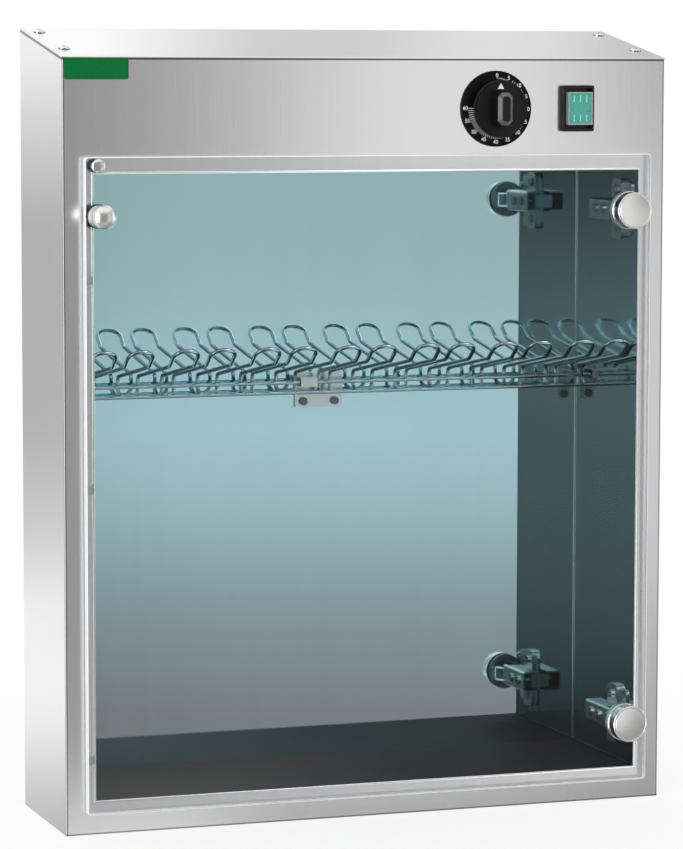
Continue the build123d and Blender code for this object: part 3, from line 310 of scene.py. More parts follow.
LEFT_PROFILE = [
    (-0.6, 0.28),
    (-0.08, 0.31),
    (0.02, 0.42),
    (0.12, 0.58),
    (0.20, 0.80),
    (0.30, 0.96),
]
card(
    "front_card",
    (0.30, -0.766, 0.25),
    2.2,
    1.6,
    [
        (
            -0.15,
            [
                (-0.6, 0.6),
                (-0.10, 0.85),
                (-0.045, 1.0),
                (0.02, 1.12),
                (0.074, 0.90),
                (0.128, 0.50),
                (0.182, 0.37),
                (0.29, 0.32),
                (0.508, 0.37),
                (1.2, 0.33),
            ],
        ),
        (-0.09, LEFT_PROFILE + [(0.43, 0.80), (0.53, 0.48), (0.62, 0.36), (1.2, 0.30)]),
        (0.0, LEFT_PROFILE + [(0.43, 0.90), (0.53, 0.56), (0.62, 0.44), (1.2, 0.32)]),
        (0.10, LEFT_PROFILE + [(0.43, 0.93), (0.53, 0.76), (0.62, 0.66), (1.2, 0.40)]),
        (0.45, LEFT_PROFILE + [(0.43, 0.93), (0.53, 0.76), (0.62, 0.66), (1.2, 0.40)]),
        (0.54, LEFT_PROFILE + [(0.43, 0.93), (0.53, 0.60), (0.62, 0.40), (1.2, 0.30)]),
    ],
)
card(
    "side_card",
    (-0.55, 0.75, 0.25),
    1.2,
    1.9,
    [
        (-0.45, [(-1.2, 0.5), (0.1, 0.5)]),
        (-0.17, [(-1.2, 0.55), (0.1, 0.55)]),
        (-0.126, [(-1.2, 0.72), (0.1, 0.72)]),
        (-0.097, [(-1.2, 0.86), (0.1, 0.86)]),
        (-0.05, [(-1.2, 1.06), (0.1, 1.06)]),
        (0.06, [(-1.2, 1.04), (0.1, 1.04)]),
        (0.14, [(-1.2, 0.70), (0.1, 0.70)]),
        (0.24, [(-1.2, 0.52), (0.1, 0.52)]),
        (0.45, [(-1.2, 0.50), (0.1, 0.50)]),
        (0.56, [(-1.2, 0.80), (0.1, 0.80)]),
        (0.62, [(-1.2, 1.05), (0.1, 1.05)]),
    ],
)
card(
    "cover_card",
    (0.30, 0.76, 1.2),
    2.2,
    1.0,
    [
        (
            0.7,
            [
                (-0.8, 1.25),
                (0.0, 1.18),
                (0.078, 0.98),
                (0.188, 0.70),
                (0.298, 0.69),
                (0.409, 0.84),
                (0.518, 0.83),
                (0.606, 0.62),
                (1.4, 0.55),
            ],
        ),
    ],
)
card(
    "door_card",
    (0.30, -0.766, 0.75),
    2.2,
    0.50,
    [
        (
            0.5,
            [
                (-0.8, 0.40),
                (-0.01, 0.49),
                (0.076, 0.64),
                (0.182, 0.945),
                (0.288, 1.24),
                (0.395, 1.21),
                (0.459, 1.12),
                (0.50, 0.88),
                (0.533, 0.70),
                (1.4, 0.5),
            ],
        ),
    ],
    seen_by="transmission",
)
CABINET_MIDDLE = Vector((0, 0, 0.3))
key_light = bpy.data.lights.new("key_light", "AREA")
key_light.shape = "RECTANGLE"
key_light.size = 1.6
key_light.size_y = 1.6
key_light.energy = 9.0
key = bpy.data.objects.new("key_light", key_light)
bpy.context.scene.collection.objects.link(key)
key.location = (-0.9, -1.3, 2.2)
key.rotation_euler = (CABINET_MIDDLE - key.location).to_track_quat("-Z", "Y").to_euler()
key.visible_camera = False
key.visible_transmission = False
key.visible_glossy = False

# Casing: satin stainless sheet, 1 mm thick, folded and spot-welded. The grain
# runs up the sheets and along the cover. The dark line at the seam under the
# cover is painted shade of the gap there, and dark lines show on the front at
# the side bends and the bottom edge.
FRONT_Y = -0.066
ROOF_FRONT = 0.613
ROOF_SLOPE = 23.0 / 132.0
GRAIN_ALONG = 14.0
GRAIN_ACROSS = 1900.0
grain = bpy.data.node_groups.new("brushed_grain", "ShaderNodeTree")
for socket_name, side, kind in (
    ("Stretch", "INPUT", "NodeSocketVector"),
    ("Roughness", "INPUT", "NodeSocketFloat"),
    ("Depth", "INPUT", "NodeSocketFloat"),
    ("Tone", "OUTPUT", "NodeSocketFloat"),
    ("Roughness", "OUTPUT", "NodeSocketFloat"),
    ("Normal", "OUTPUT", "NodeSocketVector"),
):
    grain.interface.new_socket(socket_name, in_out=side, socket_type=kind)
grain_in = grain.nodes.new("NodeGroupInput")
grain_out = grain.nodes.new("NodeGroupOutput")
where = grain.nodes.new("ShaderNodeTexCoord")
stretched = grain.nodes.new("ShaderNodeVectorMath")
stretched.operation = "MULTIPLY"
grain.links.new(where.outputs["Object"], stretched.inputs[0])
grain.links.new(grain_in.outputs["Stretch"], stretched.inputs[1])
lines = add_node(grain, "ShaderNodeTexNoise", Scale=1.0, Detail=3.0)
grain.links.new(stretched.outputs[0], lines.inputs["Vector"])
patches = add_node(grain, "ShaderNodeTexNoise", Scale=5.0, Detail=2.0)
grain.links.new(where.outputs["Object"], patches.inputs["Vector"])


def swing_of(tree, value, low, high):
    """Map a noise value to a small swing."""
    node = tree.nodes.new("ShaderNodeMapRange")
    node.inputs["To Min"].default_value = low
    node.inputs["To Max"].default_value = high
    tree.links.new(value, node.inputs["Value"])
    return node.outputs["Result"]


def summed(tree, first, second):
    """The sum of two linked values."""
    node = add_node(tree, "ShaderNodeMath", operation="ADD")
    tree.links.new(first, node.inputs[0])
    tree.links.new(second, node.inputs[1])
    return node.outputs[0]


rough = summed(
    grain,
    swing_of(grain, lines.outputs["Fac"], -0.05, 0.05),
    swing_of(grain, patches.outputs["Fac"], -0.03, 0.03),
)
rough = summed(grain, rough, grain_in.outputs["Roughness"])
relief = add_node(grain, "ShaderNodeBump", Distance=0.0001)
grain.links.new(grain_in.outputs["Depth"], relief.inputs["Strength"])
grain.links.new(lines.outputs["Fac"], relief.inputs["Height"])
grain.links.new(swing_of(grain, lines.outputs["Fac"], 0.97, 1.03), grain_out.inputs["Tone"])
grain.links.new(rough, grain_out.inputs["Roughness"])
grain.links.new(relief.outputs[0], grain_out.inputs["Normal"])


def brushed_metal(name, colour, roughness, stretch, depth=0.25):
    """A metal with fine grain lines, from the shared grain group."""
    metal = bpy.data.materials.new(name)
    metal.use_nodes = True
    tree = metal.node_tree
    shader = tree.nodes["Principled BSDF"]
    shader.inputs["Metallic"].default_value = 1.0
    group = tree.nodes.new("ShaderNodeGroup")
    group.name = "grain"
    group.node_tree = grain
    group.inputs["Stretch"].default_value = stretch
    group.inputs["Roughness"].default_value = roughness
    group.inputs["Depth"].default_value = depth
    shade = tree.nodes.new("ShaderNodeVectorMath")
    shade.name = "shade"
    shade.operation = "SCALE"
    shade.inputs[0].default_value = colour
    tree.links.new(group.outputs["Tone"], shade.inputs["Scale"])
    tree.links.new(shade.outputs[0], shader.inputs["Base Color"])
    tree.links.new(group.outputs["Roughness"], shader.inputs["Roughness"])
    tree.links.new(group.outputs["Normal"], shader.inputs["Normal"])
    return metal


def dress(material, *names):
    """Give CAD nodes one material in all their slots."""
    for name in names:
        mesh = nodes[name].data
        if not mesh.materials:
            mesh.materials.append(material)
        for index in range(len(mesh.materials)):
            mesh.materials[index] = material


casing_steel = brushed_metal(
    "casing_steel", (0.80, 0.80, 0.80), 0.22, (GRAIN_ACROSS, GRAIN_ACROSS, GRAIN_ALONG)
)
tree = casing_steel.node_tree
place = add_node(tree, "ShaderNodeTexCoord")
place_parts = add_node(tree, "ShaderNodeSeparateXYZ")
tree.links.new(place.outputs["Object"], place_parts.inputs[0])
roof = add_node(tree, "ShaderNodeMath", operation="MULTIPLY_ADD")
roof.inputs[1].default_value = -ROOF_SLOPE
roof.inputs[2].default_value = -ROOF_FRONT + FRONT_Y * ROOF_SLOPE
tree.links.new(place_parts.outputs["Y"], roof.inputs[0])
below_roof = summed(tree, place_parts.outputs["Z"], roof.outputs[0])
# Painted shade: a dark band along the seam under the cover stands for the shadow in the gap there.
side_gap_shade = ramp_of(
    tree, below_roof, -0.004, 0, [(-0.004, 1), (-0.0025, 1), (-0.0018, 0.13), (-0.0003, 0.10)]
)
front_gap_shade = ramp_of(
    tree, below_roof, -0.004, 0, [(-0.004, 1), (-0.0018, 1), (-0.0013, 0.22), (-0.0002, 0.16)]
)
on_front = ramp_of(
    tree, place_parts.outputs["Y"], -0.07, -0.06, [(-0.07, 1), (-0.0652, 1), (-0.0645, 0)]
)
gap_shade_and_lines = mixed(tree, on_front, side_gap_shade, front_gap_shade)
across_front = add_node(tree, "ShaderNodeMath", operation="ABSOLUTE")
tree.links.new(place_parts.outputs["X"], across_front.inputs[0])
bend_line = ramp_of(
    tree,
    across_front.outputs[0],
    0.25,
    0.26,
    [(0.25, 1), (0.2530, 1), (0.2537, 0.42), (0.2544, 0.36)],
)
foot_line = ramp_of(
    tree, place_parts.outputs["Z"], 0.0, 0.01, [(0.0, 0.32), (0.0008, 0.40), (0.0016, 1)]
)
edge_line = mixed(tree, 1.0, bend_line, foot_line, "MULTIPLY")
edge_line = mixed(tree, on_front, (1.0, 1.0, 1.0), edge_line)
gap_shade_and_lines = mixed(tree, 1.0, gap_shade_and_lines, edge_line, "MULTIPLY")
shade = tree.nodes["shade"]
shader = tree.nodes["Principled BSDF"]
tree.links.new(mixed(tree, 1.0, shade.outputs[0], gap_shade_and_lines, "MULTIPLY"), shader.inputs["Base Color"])
dress(casing_steel, "body_shell", "right_side", "back_panel")
cover_steel = brushed_metal(
    "cover_steel", (0.80, 0.80, 0.80), 0.22, (GRAIN_ALONG, GRAIN_ACROSS, GRAIN_ACROSS)
)
dress(cover_steel, "top_cover", "bottom_panel")


def start(name, add, scale=(1, 1, 1), **settings):
    """Add a primitive on its own, with its place in its mesh."""
    bpy.ops.object.select_all(action="DESELECT")
    add(**settings)
    piece = bpy.context.object
    piece.name = name
    piece.scale = scale
    bpy.ops.object.transform_apply(location=True, rotation=True, scale=True)
    bpy.ops.object.mode_set(mode="EDIT")
    return piece


def pick_faces(piece, test):
    """Select only the faces whose centre and normal pass a test."""
    bpy.ops.mesh.select_mode(type="FACE")
    bpy.ops.mesh.select_all(action="DESELECT")
    bpy.ops.object.mode_set(mode="OBJECT")
    for face in piece.data.polygons:
        face.select = test(face.center, face.normal)
    bpy.ops.object.mode_set(mode="EDIT")


def pick_edges(piece, test):
    """Select only the edges whose two ends pass a test."""
    bpy.ops.mesh.select_mode(type="EDGE")
    bpy.ops.mesh.select_all(action="DESELECT")
    bpy.ops.object.mode_set(mode="OBJECT")
    points = piece.data.vertices
    for edge in piece.data.edges:
        edge.select = test(points[edge.vertices[0]].co, points[edge.vertices[1]].co)
    bpy.ops.object.mode_set(mode="EDIT")


def finish(piece, body, material, angle=35):
    """Close the piece, smooth it, and let it ride on its body."""
    bpy.ops.mesh.select_all(action="SELECT")
    bpy.ops.mesh.normals_make_consistent(inside=False)
    bpy.ops.object.mode_set(mode="OBJECT")
    bpy.ops.object.shade_smooth_by_angle(angle=math.radians(angle))
    piece.data.materials.append(material)
    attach(piece, body)


# The rounded edges get a lighter steel than the sheet: the lighter colour is a painted highlight.
edge_steel_highlight = brushed_metal(
    "edge_steel_highlight", (0.92, 0.92, 0.92), 0.14, (300.0, 300.0, 300.0), depth=0.1
)
cover_edge = start(
    "cover_front_edge",
    bpy.ops.mesh.primitive_cube_add,
    size=1,
    location=(0, -0.0659, 0.61355),
    scale=(0.509, 0.0010, 0.0009),
)
pick_edges(cover_edge, lambda a, b: abs(a.x - b.x) > 0.4 and a.y < FRONT_Y and a.z > 0.6137)
bpy.ops.mesh.bevel(offset=0.00055, segments=5, affect="EDGES")
finish(cover_edge, "casing", edge_steel_highlight, angle=60)

# Lip of the door opening: the front sheet is hemmed round the opening, and
# the small rounded hem is polished; its colour, lighter than the sheet, is a
# painted highlight.
OPENING_CENTRE = Vector((0, -0.0658, 0.275))
HEM_WIDTH = 0.0018
HEM_PROUD = 0.0010
lip = start(
    "opening_lip",
    bpy.ops.mesh.primitive_plane_add,
    size=1,
    location=OPENING_CENTRE,
    rotation=(math.pi / 2, 0, 0),
    scale=(0.4656, 0.4986, 1),
)
bpy.ops.mesh.inset(thickness=HEM_WIDTH)
pick_faces(lip, lambda centre, normal: (centre - OPENING_CENTRE).length < 0.01)
bpy.ops.mesh.delete(type="FACE")
bpy.ops.mesh.select_all(action="SELECT")
bpy.ops.mesh.extrude_region_move(TRANSFORM_OT_translate={"value": (0, -HEM_PROUD, 0)})
pick_edges(
    lip,
    lambda a, b: max(a.y, b.y) < -0.0665 and min(abs(a.x - b.x), abs(a.z - b.z)) < 0.0001,
)
bpy.ops.mesh.bevel(offset=0.0006, segments=4, affect="EDGES")
finish(lip, "casing", edge_steel_highlight, angle=60)

# Cover screws: domed cross-head screws of bright zinc that hold the cover,
# each with a thin dark ring at its foot that is painted shadow under the head.
# One head is turned, slotted and copied.
screw_zinc = brushed_metal("screw_zinc", (0.80, 0.81, 0.80), 0.2, (700.0, 700.0, 700.0), depth=0.2)


def turned(name, profile, place=(0, 0, 0), sides=96, tilt=(math.pi / 2, 0, 0)):
    """A turned piece from (radius, height) rings, lowest first, tilted to face the front."""
    radius, height = profile[0]
    piece = start(
        name,
        bpy.ops.mesh.primitive_circle_add,
        vertices=sides,
        radius=radius,
        fill_type="NGON",
        location=(0, 0, height),
    )
    bpy.ops.mesh.select_mode(type="FACE")
    bpy.ops.mesh.select_all(action="SELECT")
    for next_radius, next_height in profile[1:]:
        rise = (0, 0, next_height - height)
        bpy.ops.mesh.extrude_region_move(TRANSFORM_OT_translate={"value": rise})
        scale = next_radius / radius
        bpy.ops.transform.resize(value=(scale, scale, 1), center_override=(0, 0, next_height))
        radius, height = next_radius, next_height
    bpy.ops.mesh.select_all(action="SELECT")
    bpy.ops.mesh.normals_make_consistent(inside=False)
    set_down(piece, place, tilt)
    bpy.ops.object.mode_set(mode="EDIT")
    return piece


def set_down(piece, place, tilt):
    """Turn and move a piece, and keep the place in its mesh."""
    bpy.context.view_layer.objects.active = piece
    if piece.mode == "EDIT":
        bpy.ops.object.mode_set(mode="OBJECT")
    bpy.ops.object.select_all(action="DESELECT")
    piece.select_set(True)
    piece.location = place
    piece.rotation_euler = tilt
    bpy.ops.object.transform_apply(location=True, rotation=True, scale=True)


def carve(piece, tool):
    """Cut a tool's shape out of a piece."""
    for solid in (tool, piece):
        bpy.context.view_layer.objects.active = solid
        if bpy.context.object.mode == "EDIT":
            bpy.ops.object.mode_set(mode="OBJECT")
        bpy.ops.object.select_all(action="DESELECT")
        solid.select_set(True)
        bpy.ops.object.mode_set(mode="EDIT")
        bpy.ops.mesh.select_all(action="SELECT")
        bpy.ops.mesh.normals_make_consistent(inside=False)
        bpy.ops.object.mode_set(mode="OBJECT")
    bpy.ops.object.modifier_add(type="BOOLEAN")
    cut = piece.modifiers[-1]
    cut.operation = "DIFFERENCE"
    cut.object = tool
    bpy.ops.object.modifier_apply(modifier=cut.name)
    bpy.data.objects.remove(tool)


SLOT_WIDTH = 0.0010
SLOT_CUTTER = 0.004


def cross_head(name, profile, slot_half, slot_floor):
    """A screw head with a cross recess, standing at the origin."""
    head = turned(name, profile, sides=48, tilt=(0, 0, 0))
    bpy.ops.object.mode_set(mode="OBJECT")
    for width, length in ((SLOT_WIDTH, 2 * slot_half), (2 * slot_half, SLOT_WIDTH)):
        slot = start(
            "slot",
            bpy.ops.mesh.primitive_cube_add,
            size=1,
            location=(0, 0, slot_floor + SLOT_CUTTER / 2),
            scale=(width, length, SLOT_CUTTER),
        )
        carve(head, slot)
    return head


COVER_THICK = 0.001
SHADOW_RING_TOP = 0.00031
COVER_SCREW_PROFILE = [
    (0.0049, -0.0002),
    (0.0049, 0.0002),
    (0.0047, 0.0003),
    (0.0041, 0.0003),
    (0.0041, 0.0008),
    (0.0039, 0.0012),
    (0.0035, 0.0016),
    (0.0029, 0.0019),
    (0.0021, 0.0021),
]
# Painted shadow: the dark ring under each screw head.
shadow_ring_dark = brushed_metal(
    "shadow_ring_dark", (0.10, 0.10, 0.10), 0.35, (700.0, 700.0, 700.0), depth=0.2
)
head = cross_head("cover_screw", COVER_SCREW_PROFILE, 0.0020, 0.0011)
head.data.materials.append(screw_zinc)
head.data.materials.append(shadow_ring_dark)
for face in head.data.polygons:
    face.material_index = 1 if face.center.z < SHADOW_RING_TOP else 0
bpy.ops.object.shade_smooth_by_angle(angle=math.radians(35))
cover_heads = []
for x in (-0.244, 0.244):
    for y in (-0.031, 0.046):
        twin = head.copy()
        twin.data = head.data.copy()
        twin.name = f"cover_screw_head_{len(cover_heads) + 1}"
        bpy.context.scene.collection.objects.link(twin)
        height = ROOF_FRONT + COVER_THICK + ROOF_SLOPE * (y - FRONT_Y)
        set_down(twin, (x, y, height), (math.atan(ROOF_SLOPE), 0, 0))
        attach(twin, "casing")
        cover_heads.append(twin)
bpy.data.objects.remove(head)
for twin in cover_heads:
    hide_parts("cover_screws")

# Chamber: polished stainless. The back is a mirror sheet, and the folded
# sides are polished a little darker, with a dull floor.
mirror_steel = brushed_metal(
    "mirror_steel", (0.60, 0.93, 0.99), 0.025, (60.0, 60.0, 4.0), depth=0.0
)
dress(mirror_steel, "mirror_back")
liner_steel = brushed_metal(
    "liner_steel", (0.70, 0.80, 0.82), 0.06, (60.0, 60.0, 4.0), depth=0.0
)
tree = liner_steel.node_tree
place = add_node(tree, "ShaderNodeTexCoord")
place_parts = add_node(tree, "ShaderNodeSeparateXYZ")
tree.links.new(place.outputs["Object"], place_parts.inputs[0])
on_floor = ramp_of(
    tree, place_parts.outputs["Z"], 0.02, 0.05, [(0.02, 1), (0.0276, 1), (0.0285, 0)]
)
shade = tree.nodes["shade"]
shader = tree.nodes["Principled BSDF"]
# The chamber floor's colour runs from lighter at the left to darker at the right.
floor_tone_across = ramp_of(
    tree,
    place_parts.outputs["X"],
    -0.25,
    0.25,
    [
        (-0.25, (0.205, 0.168, 0.162)),
        (-0.08, (0.130, 0.105, 0.102)),
        (0.06, (0.044, 0.036, 0.035)),
        (0.25, (0.032, 0.026, 0.026)),
    ],
)
# Painted shade: the wall colour is darker low down and near the top, by height.
wall_painted_shade = ramp_of(
    tree,
    place_parts.outputs["Z"],
    0.0,
    0.6,
    [
        (0.0, 0.75),
        (0.06, 0.95),
        (0.15, 1.14),
        (0.30, 1.06),
        (0.44, 1.10),
        (0.50, 1.10),
        (0.55, 0.90),
    ],
)
toned = mixed(tree, 1.0, shade.outputs[0], wall_painted_shade, "MULTIPLY")
tree.links.new(mixed(tree, on_floor, toned, floor_tone_across), shader.inputs["Base Color"])
off_floor = ramp_of(
    tree, place_parts.outputs["Z"], 0.02, 0.05, [(0.02, 0), (0.0276, 0), (0.0285, 1)]
)
tree.links.new(off_floor, shader.inputs["Metallic"])
FLOOR_DULLNESS = 0.5
dulled = add_node(tree, "ShaderNodeMath", operation="MULTIPLY_ADD")
dulled.inputs[1].default_value = FLOOR_DULLNESS
tree.links.new(on_floor, dulled.inputs[0])
tree.links.new(tree.nodes["grain"].outputs["Roughness"], dulled.inputs[2])
tree.links.new(dulled.outputs[0], shader.inputs["Roughness"])
shader.inputs["Specular Tint"].default_value = (0.45, 0.52, 0.53, 1)
shader.inputs["Specular IOR Level"].default_value = 0.05
dress(liner_steel, "chamber_liner", "lamp_hood")
corner_steel = brushed_metal(
    "corner_steel", (0.36, 0.44, 0.46), 0.3, (200.0, 200.0, 20.0), depth=0.1
)
CORNER_X = 0.2310
CORNER_Y = 0.0637
for side, name in ((-1, "corner_trim_left"), (1, "corner_trim_right")):
    trim = start(
        name,
        bpy.ops.mesh.primitive_cube_add,
        size=1,
        location=(side * CORNER_X, CORNER_Y, 0.275),
        scale=(0.0010, 0.0010, 0.494),
    )
    pick_edges(
        trim,
        lambda a, b: abs(a.z - b.z) > 0.4 and a.y < CORNER_Y and side * a.x < CORNER_X,
    )
    bpy.ops.mesh.bevel(offset=0.0008, segments=4, affect="EDGES")
    finish(trim, "casing", corner_steel, angle=60)

# Rack: nickel-plated wire. Two rods run across the back and seven bent wires
# are welded on them, each of them giving two hooks.
wire_nickel = brushed_metal(
    "wire_nickel", (0.33, 0.44, 0.46), 0.13, (300.0, 300.0, 300.0), depth=0.1
)
dress(wire_nickel, "rack_rods", *[f"hook_wire_{n}" for n in range(1, 8)])
clamp_zinc = brushed_metal(
    "clamp_zinc", (0.72, 0.86, 0.88), 0.25, (500.0, 500.0, 500.0), depth=0.3
)
dress(clamp_zinc, "rack_brackets")
rack_screw_dark = brushed_metal(
    "rack_screw_dark", (0.16, 0.19, 0.20), 0.22, (700.0, 700.0, 700.0), depth=0.2
)
dress(rack_screw_dark, "rack_screws")

# Concealed hinges: plates, arms, links and cups of pressed, nickel-plated steel.
# The plates are screwed to the chamber wall with screws of bright zinc.
hinge_nickel = brushed_metal(
    "hinge_nickel", (0.70, 0.77, 0.78), 0.30, (400.0, 400.0, 400.0), depth=0.2
)
for level in ("lower", "upper"):
    dress(hinge_nickel, f"hinge_plate_{level}", f"hinge_arm_{level}")
    dress(hinge_nickel, f"hinge_link_{level}", f"hinge_cup_{level}")
dress(hinge_nickel, "hinge_arm_pins", "hinge_cup_pins")
dress(screw_zinc, "hinge_plate_screws", "hinge_arm_screws", "timer_screws")

# Hinge covers: turned and nickel-plated caps, with a ring on the face, that are
# clipped over the hinge cups in front of the pane.
HINGE_X = 0.2205
HINGE_HEIGHTS = {"lower": 0.066, "upper": 0.490}
cap_nickel = brushed_metal("cap_nickel", (0.80, 0.80, 0.79), 0.2, (600.0, 600.0, 600.0), depth=0.1)
CAP_PROFILE = [
    (0.0155, 0.0760),
    (0.0155, 0.0769),
    (0.0152, 0.0772),
    (0.0136, 0.0772),
    (0.0134, 0.0774),
    (0.0134, 0.0788),
    (0.0136, 0.0790),
    (0.0147, 0.0790),
    (0.0150, 0.0793),
    (0.0150, 0.0869),
    (0.0149, 0.0873),
    (0.0147, 0.0877),
    (0.0143, 0.08795),
    (0.0139, 0.0880),
    (0.0136, 0.0879),
    (0.0134, 0.0876),
    (0.0131, 0.0876),
    (0.0129, 0.0878),
    (0.0126, 0.08785),
]
for level, z in HINGE_HEIGHTS.items():
    cap = turned(f"hinge_cover_{level}", CAP_PROFILE, (HINGE_X, 0, z), sides=128)
    finish(cap, "door", cap_nickel)
    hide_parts(f"hinge_cap_{level}")

# Door pane: clear cast acrylic, 8 mm thick, drilled for the hinge cups and
# fittings. Its sawn edges are finely sanded and gather the light; the faint
# glow given to them is a painted highlight.
PANE_Y = -0.0720
PANE_THICK = 0.008
CUP_HOLE = 0.013
SCREW_HOLE = 0.0022
KNOB_X = -0.2295
KNOB_Z = 0.490
STRIKER_X = -0.2290
STRIKER_Z = 0.529
acrylic = bpy.data.materials.new("clear_acrylic")
acrylic.use_nodes = True
tree = acrylic.node_tree
shader = tree.nodes["Principled BSDF"]
shader.inputs["Roughness"].default_value = 0.01
shader.inputs["IOR"].default_value = 1.49
shader.inputs["Transmission Weight"].default_value = 1.0
shader.inputs["Specular IOR Level"].default_value = 0.2
shader.inputs["Specular Tint"].default_value = (0.2, 0.2, 0.2, 1)
place = add_node(tree, "ShaderNodeTexCoord")
haze = add_node(tree, "ShaderNodeTexNoise", Scale=9.0, Detail=2.0)
tree.links.new(place.outputs["Object"], haze.inputs["Vector"])
clear_tone = ramp_of(
    tree, haze.outputs["Fac"], 0, 1, [(0, (0.965, 0.985, 0.985)), (1, (0.985, 0.995, 0.995))]
)
tree.links.new(clear_tone, shader.inputs["Base Color"])
rays = tree.nodes.new("ShaderNodeLightPath")
clear = tree.nodes.new("ShaderNodeBsdfTransparent")
clear.inputs["Color"].default_value = (0.92, 0.94, 0.94, 1)
pane_mix = tree.nodes.new("ShaderNodeMixShader")
tree.links.new(rays.outputs["Is Shadow Ray"], pane_mix.inputs[0])
tree.links.new(shader.outputs[0], pane_mix.inputs[1])
tree.links.new(clear.outputs[0], pane_mix.inputs[2])
tree.links.new(pane_mix.outputs[0], tree.nodes["Material Output"].inputs["Surface"])


def mottled(name, first, second, scale, roughness, relief_depth=0.0, specular=0.5):
    """A plain finish whose tone and gloss vary a little over the surface."""
    material = bpy.data.materials.new(name)
    material.use_nodes = True
    tree = material.node_tree
    shader = tree.nodes["Principled BSDF"]
    shader.inputs["Specular IOR Level"].default_value = specular
    place = tree.nodes.new("ShaderNodeTexCoord")
    noise = add_node(tree, "ShaderNodeTexNoise", Scale=scale, Detail=2.0)
    tree.links.new(place.outputs["Object"], noise.inputs["Vector"])
    tone = ramp_of(tree, noise.outputs["Fac"], 0, 1, [(0.2, first), (0.8, second)])
    tree.links.new(tone, shader.inputs["Base Color"])
    gloss = swing_of(tree, noise.outputs["Fac"], roughness - 0.06, roughness + 0.06)
    tree.links.new(gloss, shader.inputs["Roughness"])
    if relief_depth:
        relief = add_node(tree, "ShaderNodeBump", Distance=0.00005, Strength=relief_depth)
        tree.links.new(noise.outputs["Fac"], relief.inputs["Height"])
        tree.links.new(relief.outputs[0], shader.inputs["Normal"])
    return material


sanded_edge_glow = mottled("sanded_edge_glow", (0.74, 0.80, 0.80), (0.84, 0.89, 0.89), 400.0, 0.5)
shader = sanded_edge_glow.node_tree.nodes["Principled BSDF"]
# Painted highlight: the sanded edges glow faintly.
shader.inputs["Emission Color"].default_value = (0.93, 0.97, 0.97, 1)
shader.inputs["Emission Strength"].default_value = 0.20
pane = start(
    "door_pane_cast",
    bpy.ops.mesh.primitive_cube_add,
    size=1,
    location=(0, PANE_Y, 0.2765),
    scale=(0.479, PANE_THICK, 0.519),
)
pick_edges(pane, lambda a, b: abs(a.y - b.y) > 0.001)
bpy.ops.mesh.bevel(offset=0.003, segments=6, affect="EDGES")
pick_edges(pane, lambda a, b: abs(a.y - b.y) < 0.001)
bpy.ops.mesh.bevel(offset=0.0006, segments=1, affect="EDGES")
bpy.ops.mesh.select_all(action="SELECT")
bpy.ops.mesh.normals_make_consistent(inside=False)
bpy.ops.object.mode_set(mode="OBJECT")
pane.data.materials.append(acrylic)
pane.data.materials.append(sanded_edge_glow)
for x, z, radius in (
    (HINGE_X, HINGE_HEIGHTS["lower"], CUP_HOLE),
    (HINGE_X, HINGE_HEIGHTS["upper"], CUP_HOLE),
    (KNOB_X, KNOB_Z, SCREW_HOLE),
    (STRIKER_X, STRIKER_Z, SCREW_HOLE),
):
    drill = start(
        "drill",
        bpy.ops.mesh.primitive_cylinder_add,
        vertices=64,
        radius=radius,
        depth=0.03,
        location=(x, PANE_Y, z),
        rotation=(math.pi / 2, 0, 0),
    )
    carve(pane, drill)
for face in pane.data.polygons:
    face.material_index = 0 if abs(face.normal.y) > 0.99 else 1
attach(pane, "door")
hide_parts("door_pane")

# Door knob: a turned and nickel-plated flat ball on a short neck. It is screwed
# on from behind over a black rubber washer, and the free edge of the door
# closes on three soft stops of pale rubber.
BALL_CENTRE = 0.0949
BALL_RADIUS = 0.0097
BALL_HALF_DEPTH = 0.0085
KNOB_PROFILE = [
    (0.0087, 0.0774),
    (0.0089, 0.0776),
    (0.0089, 0.0806),
    (0.0087, 0.0811),
    (0.0074, 0.0840),
    (0.0068, 0.0865),
    (0.0069, 0.0880),
]
for step in range(1, 22):
    angle = math.radians(-45 + step * 6.4)
    ring_height = BALL_CENTRE + BALL_HALF_DEPTH * math.sin(angle)
    KNOB_PROFILE.append((BALL_RADIUS * math.cos(angle), ring_height))
knob_nickel = brushed_metal(
    "knob_nickel", (0.80, 0.80, 0.79), 0.30, (600.0, 600.0, 600.0), depth=0.05
)
knob = turned("door_knob_turned", KNOB_PROFILE, (KNOB_X, 0, KNOB_Z))
finish(knob, "door", knob_nickel, angle=50)
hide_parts("door_knob")
washer_rubber = mottled(
    "washer_rubber", (0.012, 0.012, 0.012), (0.02, 0.02, 0.02), 900.0, 0.6, 0.2
)
dress(washer_rubber, "knob_washer")
dress(screw_zinc, "knob_screw")
stop_rubber = mottled(
    "stop_rubber", (0.55, 0.56, 0.56), (0.62, 0.63, 0.63), 700.0, 0.4, specular=0.3
)
dress(stop_rubber, "door_bumpers")

# Striker screw: a domed cross-head screw through the pane, whose tip presses
# the safety switch when the door is shut.
STRIKER_PROFILE = [
    (0.0056, -0.0001),
    (0.0056, 0.0009),
    (0.0054, 0.0014),
    (0.0050, 0.0019),
    (0.0044, 0.0023),
    (0.0036, 0.0027),
    (0.0026, 0.0029),
]
striker = cross_head("striker_screw_head", STRIKER_PROFILE, 0.0029, 0.0016)
set_down(striker, (STRIKER_X, -0.0761, STRIKER_Z), (math.pi / 2, 0, 0))
bpy.ops.object.mode_set(mode="EDIT")
finish(striker, "door", screw_zinc)
stem = turned(
    "striker_screw_stem",
    [(0.0019, 0.0590), (0.00215, 0.0594), (0.00215, 0.0762)],
    (STRIKER_X, 0, STRIKER_Z),
    sides=32,
)
finish(stem, "door", screw_zinc)
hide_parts("striker_screw")
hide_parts("striker_screw")

